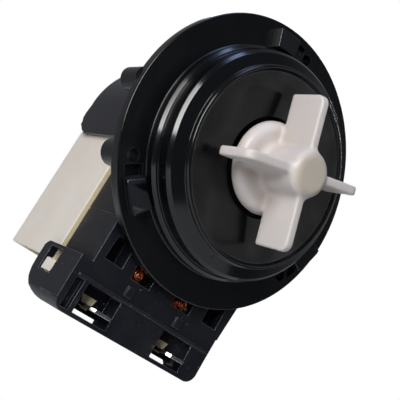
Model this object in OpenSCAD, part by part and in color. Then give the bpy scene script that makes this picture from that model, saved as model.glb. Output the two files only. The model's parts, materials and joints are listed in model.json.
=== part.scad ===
// Washer drain pump: a bayonet pump flange with a sealed rotor can, a magnet rotor that turns a
// four-blade impeller through a lost-motion coupling, and a two-coil stator under a hood and a cover.
// The pieces are drawn with x across, y up and z along the rotor axis towards the impeller, from the
// seat of the spigot, and then stood up so that the impeller faces -Y and the terminals hang down.

/* [Flange] */
// Radius of the flange rim
flange_r = 36.3; // [34:0.1:42]
// Thickness of the rim
rim_t = 2.7; // [1.6:0.1:4]
// Rounding of the rim's edges
rim_round = 0.6; // [0.2:0.1:0.7]
// Radius of the two side lugs behind the rim
ear_r = 2.7; // [2:0.1:4]
// Reach of the side lugs behind the rim
ear_len = 6; // [3:0.5:8]
// Distance of the side lugs' centres inside the rim's edge
ear_inset = 2.1; // [1:0.1:5]
// Angle of the side lugs from straight down
ear_angle = 90; // [80:1:95]
// Radius of the three bosses behind the rim
boss_r = 3.3; // [2.4:0.1:4]
// Reach of the bosses behind the rim
boss_len = 6.1; // [3:0.1:8]
// Angle of the first boss and its hole from straight down
boss_angle = 60.5; // [50:0.5:64]
// Width of the two upper grip blocks behind the rim
grip_w = 8; // [5:0.5:10]
// Radial height of the grip blocks
grip_h = 6; // [4:0.5:7]
// Reach of the grip blocks behind the rim
grip_len = 4.9; // [3:0.1:8]
// Angle of the grip blocks from straight down
grip_angle = 142; // [125:1:160]

/* [Bayonet] */
// Height of the bayonet pads on the front of the rim
pad_h = 2.5; // [0.8:0.1:2.7]
// Angular width of a pad
pad_span = 13.5; // [8:0.5:20]
// Rise of the ramp along a pad
pad_ramp = 1.2; // [0.2:0.1:1.6]
// Distance of the pads inside the rim's edge
pad_inset = 2; // [1:0.1:2.5]
// Room between the pads and the shoulder
pad_gap = 1; // [0.5:0.1:1.5]
// Angular width of the blind recess beside a pad
slot_span = 5; // [3:0.5:8]
// Depth of the recess
slot_depth = 1.2; // [0.6:0.1:1.4]
// Angle between a pad and its recess
slot_gap = 0.5; // [0.3:0.1:1.5]
// Diameter of the hole beside the recess
hole_d = 3; // [2:0.1:3.6]
// Distance of the holes inside the rim's edge
hole_inset = 4; // [3.8:0.1:4.4]
// Angle between a recess and the middle of its hole
hole_step = 3.4; // [3.4:0.1:8]

/* [Spigot] */
// Height of the shoulder at the foot of the spigot
shoulder_h = 2.8; // [1.8:0.1:5]
// Radial step of the shoulder
shoulder_step = 1.2; // [0.6:0.1:2]
// Radius of the spigot that enters the pump housing
spigot_r = 27.6; // [26:0.1:30]
// Length of the spigot's straight wall with its rounded end
spigot_len = 4; // [3:0.1:10]
// Rounding of the shoulder's front edge
shoulder_round = 0.8; // [0.3:0.1:1]
// Rounding of the spigot's front edge
spigot_round = 0.8; // [0.3:0.1:1]
// Rise of the sloped band from the spigot to the crown
nose_h = 2.6; // [1.5:0.1:4]
// Inner radius of the crown
crown_r = 22.9; // [21:0.1:24]
// Width of the crown's rounded bead
crown_w = 1.2; // [0.6:0.1:1.6]
// Fall of the dish from the crown to the rotor mouth
dish_drop = 1.8; // [1:0.1:2.4]
// Depth of the mouth from the dish to the bearing plate
mouth_depth = 2.4; // [1.5:0.1:4]
// Thickness of the dish and of the mouth's wall
dish_t = 2.4; // [1.6:0.1:2.8]

/* [Rotor can] */
// Wall of the rotor can
can_wall = 1.4; // [1:0.1:2]
// Gap between the magnet and the can
air_gap = 0.6; // [0.4:0.05:1]
// Reach of the rear bearing knob behind the hood
knob_out = 8.4; // [5:0.1:12]
// Rounding of the knob's end
knob_round = 0.8; // [0.4:0.1:1.2]

/* [Bearings] */
// Thickness of the bearing plate
plate_t = 5; // [4.4:0.1:7]
// Reach of the bearing plate's hub behind the plate
plate_hub_len = 5.4; // [4:0.1:7]
// Wall of the bearing plate's hub
plate_hub_wall = 1.6; // [1:0.1:2.4]
// Ledge of the bearing plate in front of its grommet
plate_ledge = 2.4; // [2:0.1:3]
// Depth by which the rotor mouth is wider than the can
mouth_step = 1; // [0.6:0.1:1.6]
// Wall of the front bearing bush
front_bush_wall = 2.6; // [1.5:0.1:3]
// Wall of the front rubber grommet
front_grommet_wall = 2.3; // [1.2:0.1:2.8]
// Wall of the rear bearing bush
rear_bush_wall = 2; // [1.5:0.1:2.4]
// Wall of the rear rubber grommet
rear_grommet_wall = 1.3; // [0.9:0.1:1.6]
// Length of the rear bearing bush
rear_bush_len = 8.9; // [6:0.1:10]
// Length by which a bush stands proud of its grommet
bush_proud = 0.5; // [0.2:0.1:0.8]
// Radial cover of the front bush by the bearing plate's ledge
bush_lap = 1; // [0.5:0.1:1.4]
// Section of the ring that seals the bearing plate
ring_section = 1.4; // [1:0.1:1.8]
// Thickness of the shaft's lip seal
lip_t = 1.5; // [1:0.1:1.8]
// Wall of the shaft's lip seal
lip_wall = 3; // [2:0.1:4]

/* [Rotor] */
// Radius of the rotor shaft
shaft_r = 2; // [1.5:0.1:2.4]
// Radius of the magnet
magnet_r = 10.4; // [9.8:0.1:11.5]
// Length of the magnet and of the laminated stack round it
magnet_len = 24; // [18:0.5:27]
// Radius of the magnet's bore
magnet_bore_r = 5.5; // [4.5:0.1:7]
// Thickness of the magnet carrier's end flanges
carrier_flange_t = 1.2; // [0.8:0.1:1.6]
// Distance of the end flanges' edge inside the magnet's
carrier_flange_inset = 0.5; // [0.3:0.1:2]
// Thickness of the thrust washers
washer_t = 0.8; // [0.5:0.1:1.2]
// Wall of the thrust washers
washer_wall = 2.3; // [1.5:0.1:2.6]
// Length of the shaft beyond the rear bush
shaft_tail = 1.2; // [0.6:0.1:2]

/* [Impeller] */
// Gap between the bearing plate and the impeller's disc
disc_gap = 2.7; // [2:0.1:4]
// Radius of the impeller's disc
disc_r = 11.2; // [10:0.1:11.7]
// Thickness of the disc
disc_t = 3.1; // [2.4:0.1:4]
// Rounding of the disc's edge
disc_round = 2.4; // [0.4:0.1:2.8]
// Radius of the hub
hub_r = 5.4; // [5.2:0.1:7]
// Wall of the hub round the coupling
hub_wall = 1.2; // [0.9:0.1:1.4]
// Number of blades
blade_count = 4; // [2:1:6]
// Turn of the blades from level
blade_turn = 19; // [0:1:89]
// Thickness of a blade
blade_t = 2.2; // [1.4:0.1:2.8]
// Radius of the blade tips
blade_tip_r = 18; // [15:0.1:20]
// Height of the blades along the axis
blade_h = 10.2; // [9:0.1:15]
// Rounding of the blades' front corners
blade_corner = 2.2; // [1:0.1:4.5]
// Length of the hub in front of the blades
hub_proud = 1.7; // [0.8:0.1:2.4]
// Rounding of the hub's end
hub_round = 1.6; // [0.6:0.1:2.2]
// Solid end of the hub in front of the coupling
hub_end_t = 4.4; // [3.6:0.1:5]
// Depth of the shaft's nose in the hub's solid end
shaft_nose = 2.2; // [1.5:0.1:2.8]

/* [Coupling] */
// Angular width of the driving dog
dog_span = 60; // [40:1:80]
// Wall of the dog's sleeve
dog_sleeve_wall = 0.95; // [0.7:0.05:1.1]
// Angular width of the stop in the hub
stop_span = 60; // [40:1:80]
// Angular width of each rubber buffer
buffer_span = 12; // [6:1:18]
// Angle between the stop and a buffer
buffer_gap = 0.5; // [0.3:0.1:1]
// Thickness of the retainer that closes the coupling
retainer_t = 1.6; // [1:0.1:2.2]
// Radial step by which the retainer is wider than the coupling
retainer_step = 2; // [1:0.1:3]

/* [Stator] */
// Outer radius of the pole shoes
pole_r = 20.1; // [18.5:0.1:20.1]
// Gap between the tips of the two pole shoes
pole_gap = 6; // [3:0.5:8]
// Distance of each leg from the middle
leg_x = 10.9; // [10.6:0.1:12]
// Width of a leg
leg_w = 8; // [6:0.1:8.4]
// Height of the yoke that joins the legs
yoke_h = 6.5; // [5:0.1:9]

/* [Coils] */
// Wall of a coil bobbin
bobbin_wall = 1; // [0.7:0.1:1.2]
// Thickness of a bobbin's end flanges
bobbin_flange_t = 1.2; // [0.8:0.1:1.6]
// Length of the winding window
window_len = 19.9; // [18.5:0.1:24]
// Build of the inner layers of a winding
pack_t = 1.9; // [1:0.1:2]
// Diameter of the outer layer's wire
wire_d = 0.9; // [0.6:0.05:0.95]
// Number of loops in the outer layer
loops = 13; // [6:1:14]
// Room between the can and the bobbins
bobbin_gap = 1.3; // [0.8:0.1:3]
// Room between the terminal plate and the bobbins
coil_gap = 3.4; // [2.6:0.1:5]
// Diameter of the coil leads
lead_d = 0.9; // [0.6:0.1:1.2]
// Margin of a bobbin's end flanges round the wire
flange_margin = 0.25; // [0.1:0.05:0.5]
// Diameter of the pin that the wire is tied to, on each bobbin
pin_d = 1; // [0.8:0.1:1.2]
// Distance of the pins from the middle
pin_x = 7.8; // [7.6:0.1:8.2]
// Reach of the pins in front of the bobbins
pin_out = 4.2; // [3.2:0.1:5]
// Radius of the wire wrapped round a pin
wrap_r = 1.6; // [1.1:0.1:1.9]
// Length of the wire wrapped round a pin
wrap_len = 2.9; // [2:0.1:3]

/* [Coil cover] */
// Wall of the coil cover
cover_t = 1.8; // [1.2:0.1:2.2]
// Room between the bobbins and the cover at the sides
cover_side_gap = 1.2; // [0.6:0.1:2]
// Room between the bobbins and the cover at the back
cover_back_gap = 0.9; // [0.4:0.1:2]
// Outer radius of the cover's two rear bends
cover_bend_r = 1.2; // [0.8:0.1:6]
// Depth of the cover below the yoke
cover_drop = 0.2; // [0:0.1:2]
// Depth of the cover above the hood's lower edge
cover_tuck = 1; // [0.5:0.1:3]
// Height of the cover's snap tongues
tongue_h = 3.1; // [2:0.1:3.4]
// Length of the snap hooks along the axis
hook_len = 5.2; // [2.5:0.1:6]
// Distance of the snap hooks in front of the cover's edge
hook_set = 0.5; // [0.3:0.1:1]
// Depth of the snap hooks below the straps' outer face
hook_sink = 0.3; // [0.1:0.1:0.6]

/* [Hood] */
// Wall of the hood
hood_wall = 1.4; // [1:0.1:2]
// Depth of the hood's skirts below the axis
hood_skirt = 9.2; // [6:0.1:12]
// Radius of the skirts' rear corners
hood_corner = 6; // [3:0.1:9]
// Gap between the flange and the hood
hood_gap = 1; // [0.6:0.1:4]
// Room between the can's end and the hood's rear wall
hood_back_gap = 0.8; // [0.4:0.1:2]

/* [Terminal carrier] */
// Gap between the flange and the terminal carrier
carrier_gap = 0.9; // [0.5:0.1:3]
// Thickness of the carrier's front plate
front_t = 1.8; // [1.2:0.1:2.2]
// Depth of the carrier's upper side walls
carrier_depth = 14.6; // [12:0.1:18]
// Thickness of the carrier's left upper wall
left_wall = 1.6; // [1.2:0.1:2]
// Lean of the carrier's right upper wall, outwards
right_flare = 1.1; // [0.3:0.1:1.1]
// Height by which the carrier's upper end clears the can
carrier_top_gap = 2.6; // [1:0.1:6]
// Depth of the seam in the upper walls below the carrier's upper end
seam_drop = 13; // [8:0.5:18]
// Width of the seam
seam_w = 0.4; // [0.2:0.1:0.8]
// Depth of the seam in the wall
seam_depth = 0.3; // [0.1:0.1:0.6]
// Overlap of the cover by the carrier's lower block
block_lap = 3.6; // [3:0.1:5]
// Depth of the lower block below the cover
block_drop = 9.3; // [9:0.1:12]
// Depth of the clip straps behind the cover's front edge
strap_back = 3.2; // [2.4:0.1:4]
// Thickness of the lower block's side walls
strap_t = 1.7; // [1.2:0.1:2.2]
// Thickness of the lower block's floor
floor_t = 1; // [0.8:0.1:1.3]
// Thickness of the lower block's roof
roof_t = 0.9; // [0.8:0.1:1.8]
// Radius of the lower block's bottom corners
block_corner = 3; // [2:0.1:4]
// Radius of the lower block's rear corner
block_rear_corner = 8; // [2:0.1:9]
// Radius of the clip straps' upper rear corner
strap_corner = 2; // [0.5:0.1:2.6]
// Room in front of the snap hooks in their openings
window_play = 0.5; // [0.3:0.1:2]
// Depth of the lower block's set-back at the front right
right_setback = 2.2; // [1.8:0.1:3]
// Length of the set-back along the axis
setback_len = 3.8; // [2.5:0.1:5]
// Width of the blind windows in the front plate
blind_w = 5.2; // [3:0.1:5.4]
// Height of the blind windows
blind_h = 6; // [4:0.1:8]
// Distance of the blind windows inside the carrier's sides
blind_edge = 2.3; // [1.8:0.1:3]
// Wall round and behind a blind window
blind_wall = 0.8; // [0.6:0.1:1]
// Width of the wire notches in the front plate
notch_w = 6.3; // [4:0.1:7]
// Height of the wire notches
notch_h = 5.5; // [3:0.1:8]
// Distance of the wire notches from the middle
notch_x = 7; // [6:0.1:7.6]
// Height of the blind windows above the roof line
notch_rise = 1.9; // [1.6:0.1:4]
// Depth of the wire notches below the blind windows' sills
notch_drop = 0.7; // [0:0.1:1.2]
// Width of the small ribs below the notches
rib_w = 2.3; // [1:0.1:3]
// Height of the small ribs
rib_len = 2.6; // [1.5:0.1:3]
// Height of the small ribs above the sockets
rib_rise = 1.6; // [1.2:0.1:2]
// Distance of the ribs outside the notches' middles
rib_shift = 1.3; // [0.5:0.1:2]
// Height of the bead above the sockets
bead_rise = 0.3; // [0.2:0.1:0.5]
// Width of the bead
bead_w = 0.6; // [0.3:0.1:0.7]
// Height by which ribs and bead stand proud
rib_h = 0.6; // [0.3:0.1:1]
// Thickness of the floor of the groove beside the left socket
groove_floor_t = 0.6; // [0.4:0.1:0.9]

/* [Terminals] */
// Width of a spade terminal
tab_w = 6.3; // [4.8:0.1:6.3]
// Thickness of a spade terminal
tab_t = 0.8; // [0.5:0.1:0.8]
// Reach of the spade terminals in front of the carrier
tab_reach = 3.7; // [0:0.1:5]
// Width of a spade terminal's tail
tail_w = 3; // [2:0.1:4]
// Diameter of the detent hole
detent_d = 1.6; // [1:0.1:2]
// Distance of the left terminal from the middle
left_tab_x = 13.8; // [12.5:0.1:14.5]
// Distance of the right terminal from the middle
right_tab_x = 10.8; // [10:0.1:11.5]
// Width of a terminal socket
socket_w = 10; // [8:0.1:10.4]
// Height of a terminal socket
socket_h = 7.3; // [6.9:0.1:7.4]
// Depth of a terminal socket
socket_depth = 4.9; // [4.4:0.1:6]
// Thickness of a socket's walls
socket_wall = 1.3; // [1:0.1:1.6]
// Height of the drain slit at the bottom of a socket
slit_h = 1; // [0.5:0.1:1.4]
// Width of the drain slit
slit_w = 7.4; // [4:0.1:7.6]
// Height of the spade terminals above the socket floor
tab_rise = 2.7; // [2:0.1:2.9]

/* [Clearances] */
// Clearance between fitted pieces
seat_gap = 0.05; // [0.03:0.01:0.1]
// Radial clearance of turning fits
run_gap = 0.05; // [0.03:0.01:0.08]
// Axial end play between turning faces
end_gap = 0.1; // [0.05:0.05:0.3]
// Clearance between pieces that slide past each other
slip_gap = 0.2; // [0.1:0.05:0.3]
// Clearance between the coupling's moving parts
dog_gap = 0.15; // [0.1:0.05:0.2]

/* [Hidden] */
$fn = 72;
// Slightest overlap that makes cuts and joints whole
bite = 0.02;
// Overshoot of a cut past the faces it opens
over = 1;
// Least rounding of an inner corner
least_round = 0.3;

// Heights of the flange along the rotor axis
flange_front = -shoulder_h;
flange_back = flange_front - rim_t;
shoulder_r = spigot_r + shoulder_step;
crown_front = spigot_len + nose_h;
dish_floor = crown_front - dish_drop;
plate_front = dish_floor - mouth_depth;
plate_back = plate_front - plate_t;

// Radii from the shaft outwards
front_bush_r = shaft_r + run_gap + front_bush_wall;
front_grommet_r = front_bush_r + seat_gap + front_grommet_wall;
plate_pocket_r = front_grommet_r + seat_gap;
plate_hub_r = plate_pocket_r + plate_hub_wall;
rear_bush_r = shaft_r + run_gap + rear_bush_wall;
rear_grommet_r = rear_bush_r + seat_gap + rear_grommet_wall;
knob_pocket_r = rear_grommet_r + seat_gap;
knob_r = knob_pocket_r + can_wall;
can_in_r = magnet_r + air_gap;
can_out_r = can_in_r + can_wall;
mouth_r = can_in_r + mouth_step;
washer_r = shaft_r + seat_gap + washer_wall;
lip_r = shaft_r + run_gap + lip_wall;

// Terminal carrier and stator along the axis, from the flange back
carrier_front = flange_back - carrier_gap;
front_back = carrier_front - front_t;
setback_back = carrier_front - setback_len;
stack_t = magnet_len;
coil_build = bobbin_wall + pack_t + seat_gap + wire_d;
bobbin_half_z = stack_t / 2 + seat_gap + coil_build + flange_margin;
bobbin_half_x = leg_w / 2 + seat_gap + coil_build + flange_margin;
bobbin_front = front_back - coil_gap;
stator_mid = bobbin_front - bobbin_half_z;
bobbin_back = stator_mid - bobbin_half_z;
carrier_back = carrier_front - carrier_depth;
cover_front = carrier_back - slip_gap;
cover_rear = bobbin_back - cover_back_gap - cover_t;
strap_rear = cover_front - strap_back;

// Rotor along the axis
plate_hub_back = plate_back - plate_hub_len;
plate_pocket_front = plate_front - plate_ledge;
front_bush_back = plate_hub_back - bush_proud;
front_washer_back = front_bush_back - end_gap - washer_t;
carrier_nose = front_washer_back - end_gap;
magnet_front = stator_mid + magnet_len / 2;
magnet_back = magnet_front - magnet_len;
carrier_tail = magnet_back - seat_gap - carrier_flange_t;
rear_washer_back = carrier_tail - end_gap - washer_t;
rear_bush_front = rear_washer_back - end_gap;
can_end_in = rear_bush_front - bush_proud;
can_end_out = can_end_in - can_wall;
rear_bush_back = rear_bush_front - rear_bush_len;
shaft_back = rear_bush_back - shaft_tail;
hood_rear = min(cover_rear, can_end_out - hood_back_gap - hood_wall);
knob_end = min(hood_rear - knob_out, shaft_back - shaft_tail - can_wall);

// Impeller and coupling along the axis
disc_back = plate_front + disc_gap;
blade_back = disc_back + disc_t;
blade_front = blade_back + blade_h;
hub_front = blade_front + hub_proud;
coupling_back = disc_back + retainer_t + seat_gap;
coupling_front = hub_front - hub_end_t;
shaft_front = coupling_front + shaft_nose;
coupling_r = hub_r - hub_wall;
dog_sleeve_r = shaft_r + seat_gap + dog_sleeve_wall;
dog_back = coupling_back + 2 * end_gap;
dog_front = coupling_front - 2 * end_gap;
dog_r = coupling_r - dog_gap;
stop_in_r = dog_sleeve_r + dog_gap;
retainer_r = coupling_r + retainer_step;
stop_angle = blade_turn + 180 / blade_count;

// Heights below the axis, as y values
pole_bore_r = can_out_r + seat_gap;
bobbin_top = -(can_out_r + bobbin_gap);
bobbin_bottom = bobbin_top - window_len - 2 * bobbin_flange_t;
yoke_top = bobbin_bottom - slip_gap;
yoke_bottom = yoke_top - yoke_h;
cover_bottom = yoke_bottom - cover_drop;
cover_top = -hood_skirt + cover_tuck;
block_top = cover_bottom + block_lap;
block_bottom = cover_bottom - block_drop;
block_floor = block_bottom + floor_t;
carrier_top = -(can_out_r + carrier_top_gap);
seam_y = carrier_top - seam_drop;
pin_y = bobbin_bottom - pin_d / 2;

// Widths from the middle
carrier_in_x = leg_x + bobbin_half_x + slip_gap;
cover_in_x = leg_x + bobbin_half_x + cover_side_gap;
cover_x = cover_in_x + cover_t;
hood_in_r = cover_x + slip_gap;
hood_r = hood_in_r + hood_wall;
strap_in_x = cover_x + 1.5 * slip_gap;
strap_x = strap_in_x + strap_t;
right_x = strap_x - right_setback;
left_side_x = -carrier_in_x - left_wall;
right_side_x = strap_in_x + right_flare;

// Terminals
tab_y = block_floor + tab_rise;
socket_top = block_floor + socket_h;
socket_back = carrier_front - socket_depth;
lead_z = min(bobbin_front, socket_back - socket_wall) - lead_d;
tab_tail = lead_z - lead_d;
hook_back = cover_front + hook_set;
hook_front = hook_back + hook_len;
hook_bottom = cover_bottom - tongue_h;

// Angles and radii of the bayonet's features, from straight down
hole_r = flange_r - hole_inset;
slot_angle = hole_step + slot_span / 2 - boss_angle;
pad_angle = slot_angle + (slot_span + pad_span) / 2 + slot_gap;
pad_in_r = shoulder_r + pad_gap;
pad_out_r = flange_r - pad_inset;

// Shared shapes

// Stands the pump up: z along the axis becomes -Y, and y becomes Z
module stand() {
    rotate([90, 0, 0]) children();
}

// Box between two corners
module block(low, high) {
    translate(low) cube(high - low);
}

// Outline in x and z, carried down from the height top
module carried_down(top, depth) {
    translate([0, top, 0]) rotate([90, 0, 0]) linear_extrude(depth) children();
}

// Outline in -z and y, carried across from left to right
module carried_across(left, right) {
    translate([left, 0, 0]) rotate([0, 90, 0]) linear_extrude(right - left) children();
}

// Outline in x and y, carried along the axis from back to front
module carried_along(back, front) {
    translate([0, 0, back]) linear_extrude(front - back) children();
}

// Ring profile between two radii and two heights
module ring(inner, outer, back, front) {
    rotate_extrude() translate([inner, back]) square([outer - inner, front - back]);
}

// Rectangle with round corners, centred
module soft_rectangle(width, height, radius) {
    square([width, height - 2 * radius], center = true);
    square([width - 2 * radius, height], center = true);
    for (sx = [-1, 1], sy = [-1, 1])
        translate([sx * (width / 2 - radius), sy * (height / 2 - radius)]) circle(radius);
}

// Wedge of a given angle from the middle out to a reach
module wedge(middle, span, reach) {
    far = reach / cos(span / 2);
    polygon([
        [0, 0],
        far * [cos(middle - span / 2), sin(middle - span / 2)],
        far * [cos(middle + span / 2), sin(middle + span / 2)]
    ]);
}

// Part of a flat ring within an angle of under 90 degrees
module ring_sector(inner, outer, middle, span) {
    intersection() {
        difference() {
            circle(outer);
            circle(inner);
        }
        wedge(middle, span, outer + over);
    }
}

// Moves out along a direction given as an angle from straight down
module at_clock(angle, radius) {
    rotate([0, 0, angle - 90]) translate([radius, 0, 0]) children();
}

// Pump flange

module flange_profile() {
    // Rim with round edges
    translate([0, flange_back]) square([flange_r - rim_round, rim_t]);
    translate([0, flange_back + rim_round]) square([flange_r, rim_t - 2 * rim_round]);
    for (edge = [flange_back + rim_round, flange_front - rim_round])
        translate([flange_r - rim_round, edge]) circle(rim_round);
    // Shoulder and spigot with round front edges
    translate([0, flange_front - bite]) square([shoulder_r, shoulder_h - shoulder_round + bite]);
    translate([0, flange_front - bite]) square([shoulder_r - shoulder_round, shoulder_h + bite]);
    translate([shoulder_r - shoulder_round, -shoulder_round]) circle(shoulder_round);
    translate([0, -bite]) square([spigot_r, spigot_len - spigot_round + bite]);
    translate([0, -bite]) square([spigot_r - spigot_round, spigot_len + bite]);
    translate([spigot_r - spigot_round, spigot_len - spigot_round]) circle(spigot_round);
    // Sloped band up to the round crown bead
    polygon([
        [0, 0],
        [spigot_r - spigot_round, 0],
        [spigot_r - spigot_round, spigot_len],
        [crown_r + crown_w, crown_front - crown_w],
        [0, crown_front - crown_w]
    ]);
    translate([crown_r + crown_w / 2, crown_front - crown_w / 2]) circle(crown_w / 2);
    translate([0, crown_front - 2 * crown_w]) square([crown_r + crown_w, 1.5 * crown_w]);
    // Rotor can and the bearing knob at its end
    translate([0, can_end_out]) square([can_out_r, flange_front - can_end_out]);
    translate([0, knob_end]) square([knob_r - knob_round, can_end_out - knob_end + bite]);
    translate([0, knob_end + knob_round]) square([knob_r, can_end_out - knob_end - knob_round + bite]);
    translate([knob_r - knob_round, knob_end + knob_round]) circle(knob_round);
}

module chamber_profile() {
    // Dish, mouth, rotor chamber and the rear bearing's pocket
    polygon([
        [0, dish_floor],
        [mouth_r, dish_floor],
        [crown_r, crown_front - crown_w / 2],
        [crown_r, crown_front + over],
        [0, crown_front + over]
    ]);
    translate([0, plate_back]) square([mouth_r, dish_floor - plate_back + bite]);
    translate([0, can_end_in]) square([can_in_r, plate_back - can_end_in + bite]);
    translate([0, knob_end + can_wall]) square([knob_pocket_r, can_end_in - knob_end - can_wall + bite]);
    // Hollow behind the dish
    hollow_in = max(mouth_r, can_out_r) + dish_t;
    hollow_out = crown_r - dish_t / 2;
    translate([hollow_in, flange_back - over])
        square([hollow_out - hollow_in, dish_floor - dish_t - flange_back + over]);
}

module bayonet_pads() {
    // The top of each pad is a ramp along the turn of the bayonet
    half = pad_out_r * sin(pad_span / 2);
    reach = half + over;
    pad_top = flange_front + pad_h;
    rise = min(pad_ramp, pad_h / 2);
    slope = rise / (2 * half);
    for (turn = [0:120:240])
        intersection() {
            carried_along(flange_front - bite, pad_top + over)
                ring_sector(pad_in_r, pad_out_r, pad_angle - 90 + turn, pad_span);
            at_clock(pad_angle + turn, pad_in_r - over) rotate([90, 0, 90])
                linear_extrude(pad_out_r - pad_in_r + 2 * over) polygon([
                    [-reach, flange_front - over],
                    [reach, flange_front - over],
                    [reach, pad_top + slope * over],
                    [-reach, pad_top - rise - slope * over]
                ]);
        }
}

module bayonet_recesses() {
    // A blind recess beside each pad, and a hole through the boss behind it
    hole_back = flange_back - boss_len - over;
    for (turn = [0:120:240]) {
        carried_along(flange_front - slot_depth, flange_front + over)
            ring_sector(pad_in_r, pad_out_r, slot_angle - 90 + turn, slot_span);
        at_clock(turn - boss_angle, hole_r)
            translate([0, 0, hole_back]) cylinder(d = hole_d, h = flange_front + over - hole_back);
    }
}

module rear_lugs() {
    for (turn = [0:120:240])
        at_clock(turn - boss_angle, hole_r)
            translate([0, 0, flange_back - boss_len]) cylinder(r = boss_r, h = boss_len + rim_t / 2);
    for (side = [-1, 1]) {
        at_clock(side * ear_angle, flange_r - ear_inset)
            translate([0, 0, flange_back - ear_len]) cylinder(r = ear_r, h = ear_len + rim_t / 2);
        at_clock(side * grip_angle, flange_r - rim_round - grip_h / 2)
            translate([0, 0, flange_back - grip_len / 2 + bite])
                cube([grip_h, grip_w, grip_len], center = true);
    }
}

module pump_flange() {
    color("#1d1f23") difference() {
        union() {
            rotate_extrude() flange_profile();
            bayonet_pads();
            rear_lugs();
        }
        rotate_extrude() chamber_profile();
        bayonet_recesses();
    }
}

// Bearings and seals

module bearing_plate() {
    plate_r = mouth_r - seat_gap;
    groove_half = ring_section / 2 + end_gap;
    plate_mid = (plate_front + plate_back) / 2;
    color("#26282c") rotate_extrude() difference() {
        union() {
            translate([0, plate_back]) square([plate_r, plate_t]);
            translate([0, plate_hub_back]) square([plate_hub_r, plate_hub_len + bite]);
        }
        translate([0, plate_hub_back - over])
            square([plate_pocket_r, plate_pocket_front - plate_hub_back + over]);
        translate([0, plate_pocket_front - over]) square([front_bush_r - bush_lap, plate_ledge + 2 * over]);
        translate([0, plate_front - lip_t - seat_gap]) square([lip_r + seat_gap, lip_t + over]);
        translate([mouth_r - ring_section - seat_gap, plate_mid - groove_half])
            square([ring_section + over, 2 * groove_half]);
    }
}

module plate_seal_ring() {
    color("#303030") rotate_extrude()
        translate([mouth_r - ring_section / 2 - seat_gap / 2, (plate_front + plate_back) / 2])
            circle(d = ring_section - seat_gap);
}

module shaft_lip_seal() {
    color("#353535") ring(shaft_r + run_gap, lip_r, plate_front - lip_t, plate_front);
}

module front_bearing() {
    color("#8a7f70") ring(shaft_r + run_gap, front_bush_r, front_bush_back, plate_pocket_front - end_gap);
}

module front_grommet() {
    color("#2c2c2c")
        ring(front_bush_r + seat_gap, front_grommet_r, plate_hub_back, plate_pocket_front - seat_gap);
}

module rear_bearing() {
    color("#8a7f70") ring(shaft_r + run_gap, rear_bush_r, rear_bush_back, rear_bush_front);
}

module rear_grommet() {
    color("#2c2c2c")
        ring(rear_bush_r + seat_gap, rear_grommet_r, rear_bush_back + bush_proud, can_end_in);
}

// Rotor

module rotor_shaft() {
    color("#c9ccd0") translate([0, 0, shaft_back]) cylinder(r = shaft_r, h = shaft_front - shaft_back);
}

module magnet_carrier() {
    core_r = magnet_bore_r - seat_gap;
    end_r = magnet_r - carrier_flange_inset;
    bore_r = shaft_r + seat_gap;
    color("#3a3d42") {
        ring(bore_r, core_r, carrier_tail, carrier_nose);
        ring(core_r - bite, end_r, carrier_tail, carrier_tail + carrier_flange_t);
        ring(core_r - bite, end_r, magnet_front + seat_gap, magnet_front + seat_gap + carrier_flange_t);
    }
}

module rotor_magnet() {
    color("#3c3a38") ring(magnet_bore_r, magnet_r, magnet_back, magnet_front);
}

module front_thrust_washer() {
    color("#d8d3c4") ring(shaft_r + seat_gap, washer_r, front_washer_back, front_washer_back + washer_t);
}

module rear_thrust_washer() {
    color("#d8d3c4") ring(shaft_r + seat_gap, washer_r, rear_washer_back, rear_washer_back + washer_t);
}

module drive_dog() {
    color("#b9b4a6") difference() {
        union() {
            ring(shaft_r + seat_gap, dog_sleeve_r, dog_back, dog_front);
            carried_along(dog_back, dog_front)
                ring_sector(shaft_r + seat_gap, dog_r, stop_angle + 180, dog_span);
        }
        translate([0, 0, dog_back - over])
            cylinder(r = shaft_r + seat_gap, h = dog_front - dog_back + 2 * over);
    }
}

// Impeller

module blade_outline() {
    // Out from the hub, with a round front corner at the tip
    height = blade_front - blade_back;
    inner = coupling_r + hub_wall / 2;
    square_tip = blade_tip_r - blade_corner;
    translate([inner, 0]) square([square_tip - inner, height]);
    translate([inner, 0]) square([blade_tip_r - inner, height - blade_corner]);
    translate([square_tip, height - blade_corner]) circle(blade_corner);
}

module blades() {
    for (turn = [0:360 / blade_count:359])
        rotate([0, 0, blade_turn + turn])
            translate([0, blade_t / 2, blade_back - bite]) rotate([90, 0, 0])
                linear_extrude(blade_t) blade_outline();
}

module impeller() {
    // The disc's edge keeps a straight wall behind its rounding
    disc_edge = min(disc_round, disc_t - least_round);
    color("#eceae6") difference() {
        union() {
            rotate_extrude() {
                translate([0, disc_back]) square([disc_r, disc_t - disc_edge]);
                translate([0, disc_back]) square([disc_r - disc_edge, disc_t]);
                translate([disc_r - disc_edge, blade_back - disc_edge]) circle(disc_edge);
                translate([0, disc_back]) square([hub_r, hub_front - hub_round - disc_back]);
                translate([0, disc_back]) square([hub_r - hub_round, hub_front - disc_back]);
                translate([hub_r - hub_round, hub_front - hub_round]) circle(hub_round);
            }
            blades();
        }
        translate([0, 0, disc_back - over])
            cylinder(r = retainer_r + seat_gap, h = retainer_t + seat_gap + over);
        difference() {
            translate([0, 0, coupling_back - bite])
                cylinder(r = coupling_r, h = coupling_front - coupling_back + bite);
            carried_along(coupling_back - over, coupling_front + over)
                ring_sector(stop_in_r, coupling_r + over, stop_angle, stop_span);
        }
        translate([0, 0, coupling_front - bite])
            cylinder(r = shaft_r + run_gap, h = shaft_nose + end_gap + bite);
    }
}

module coupling_retainer() {
    color("#dedbd3") ring(shaft_r + run_gap, retainer_r, disc_back, disc_back + retainer_t);
}

module stop_buffers() {
    offset_angle = (stop_span + buffer_span) / 2 + buffer_gap;
    color("#4a4a4a") for (side = [-1, 1])
        carried_along(dog_back, dog_front)
            ring_sector(stop_in_r, coupling_r - seat_gap, stop_angle + side * offset_angle, buffer_span);
}

// Stator

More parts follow.
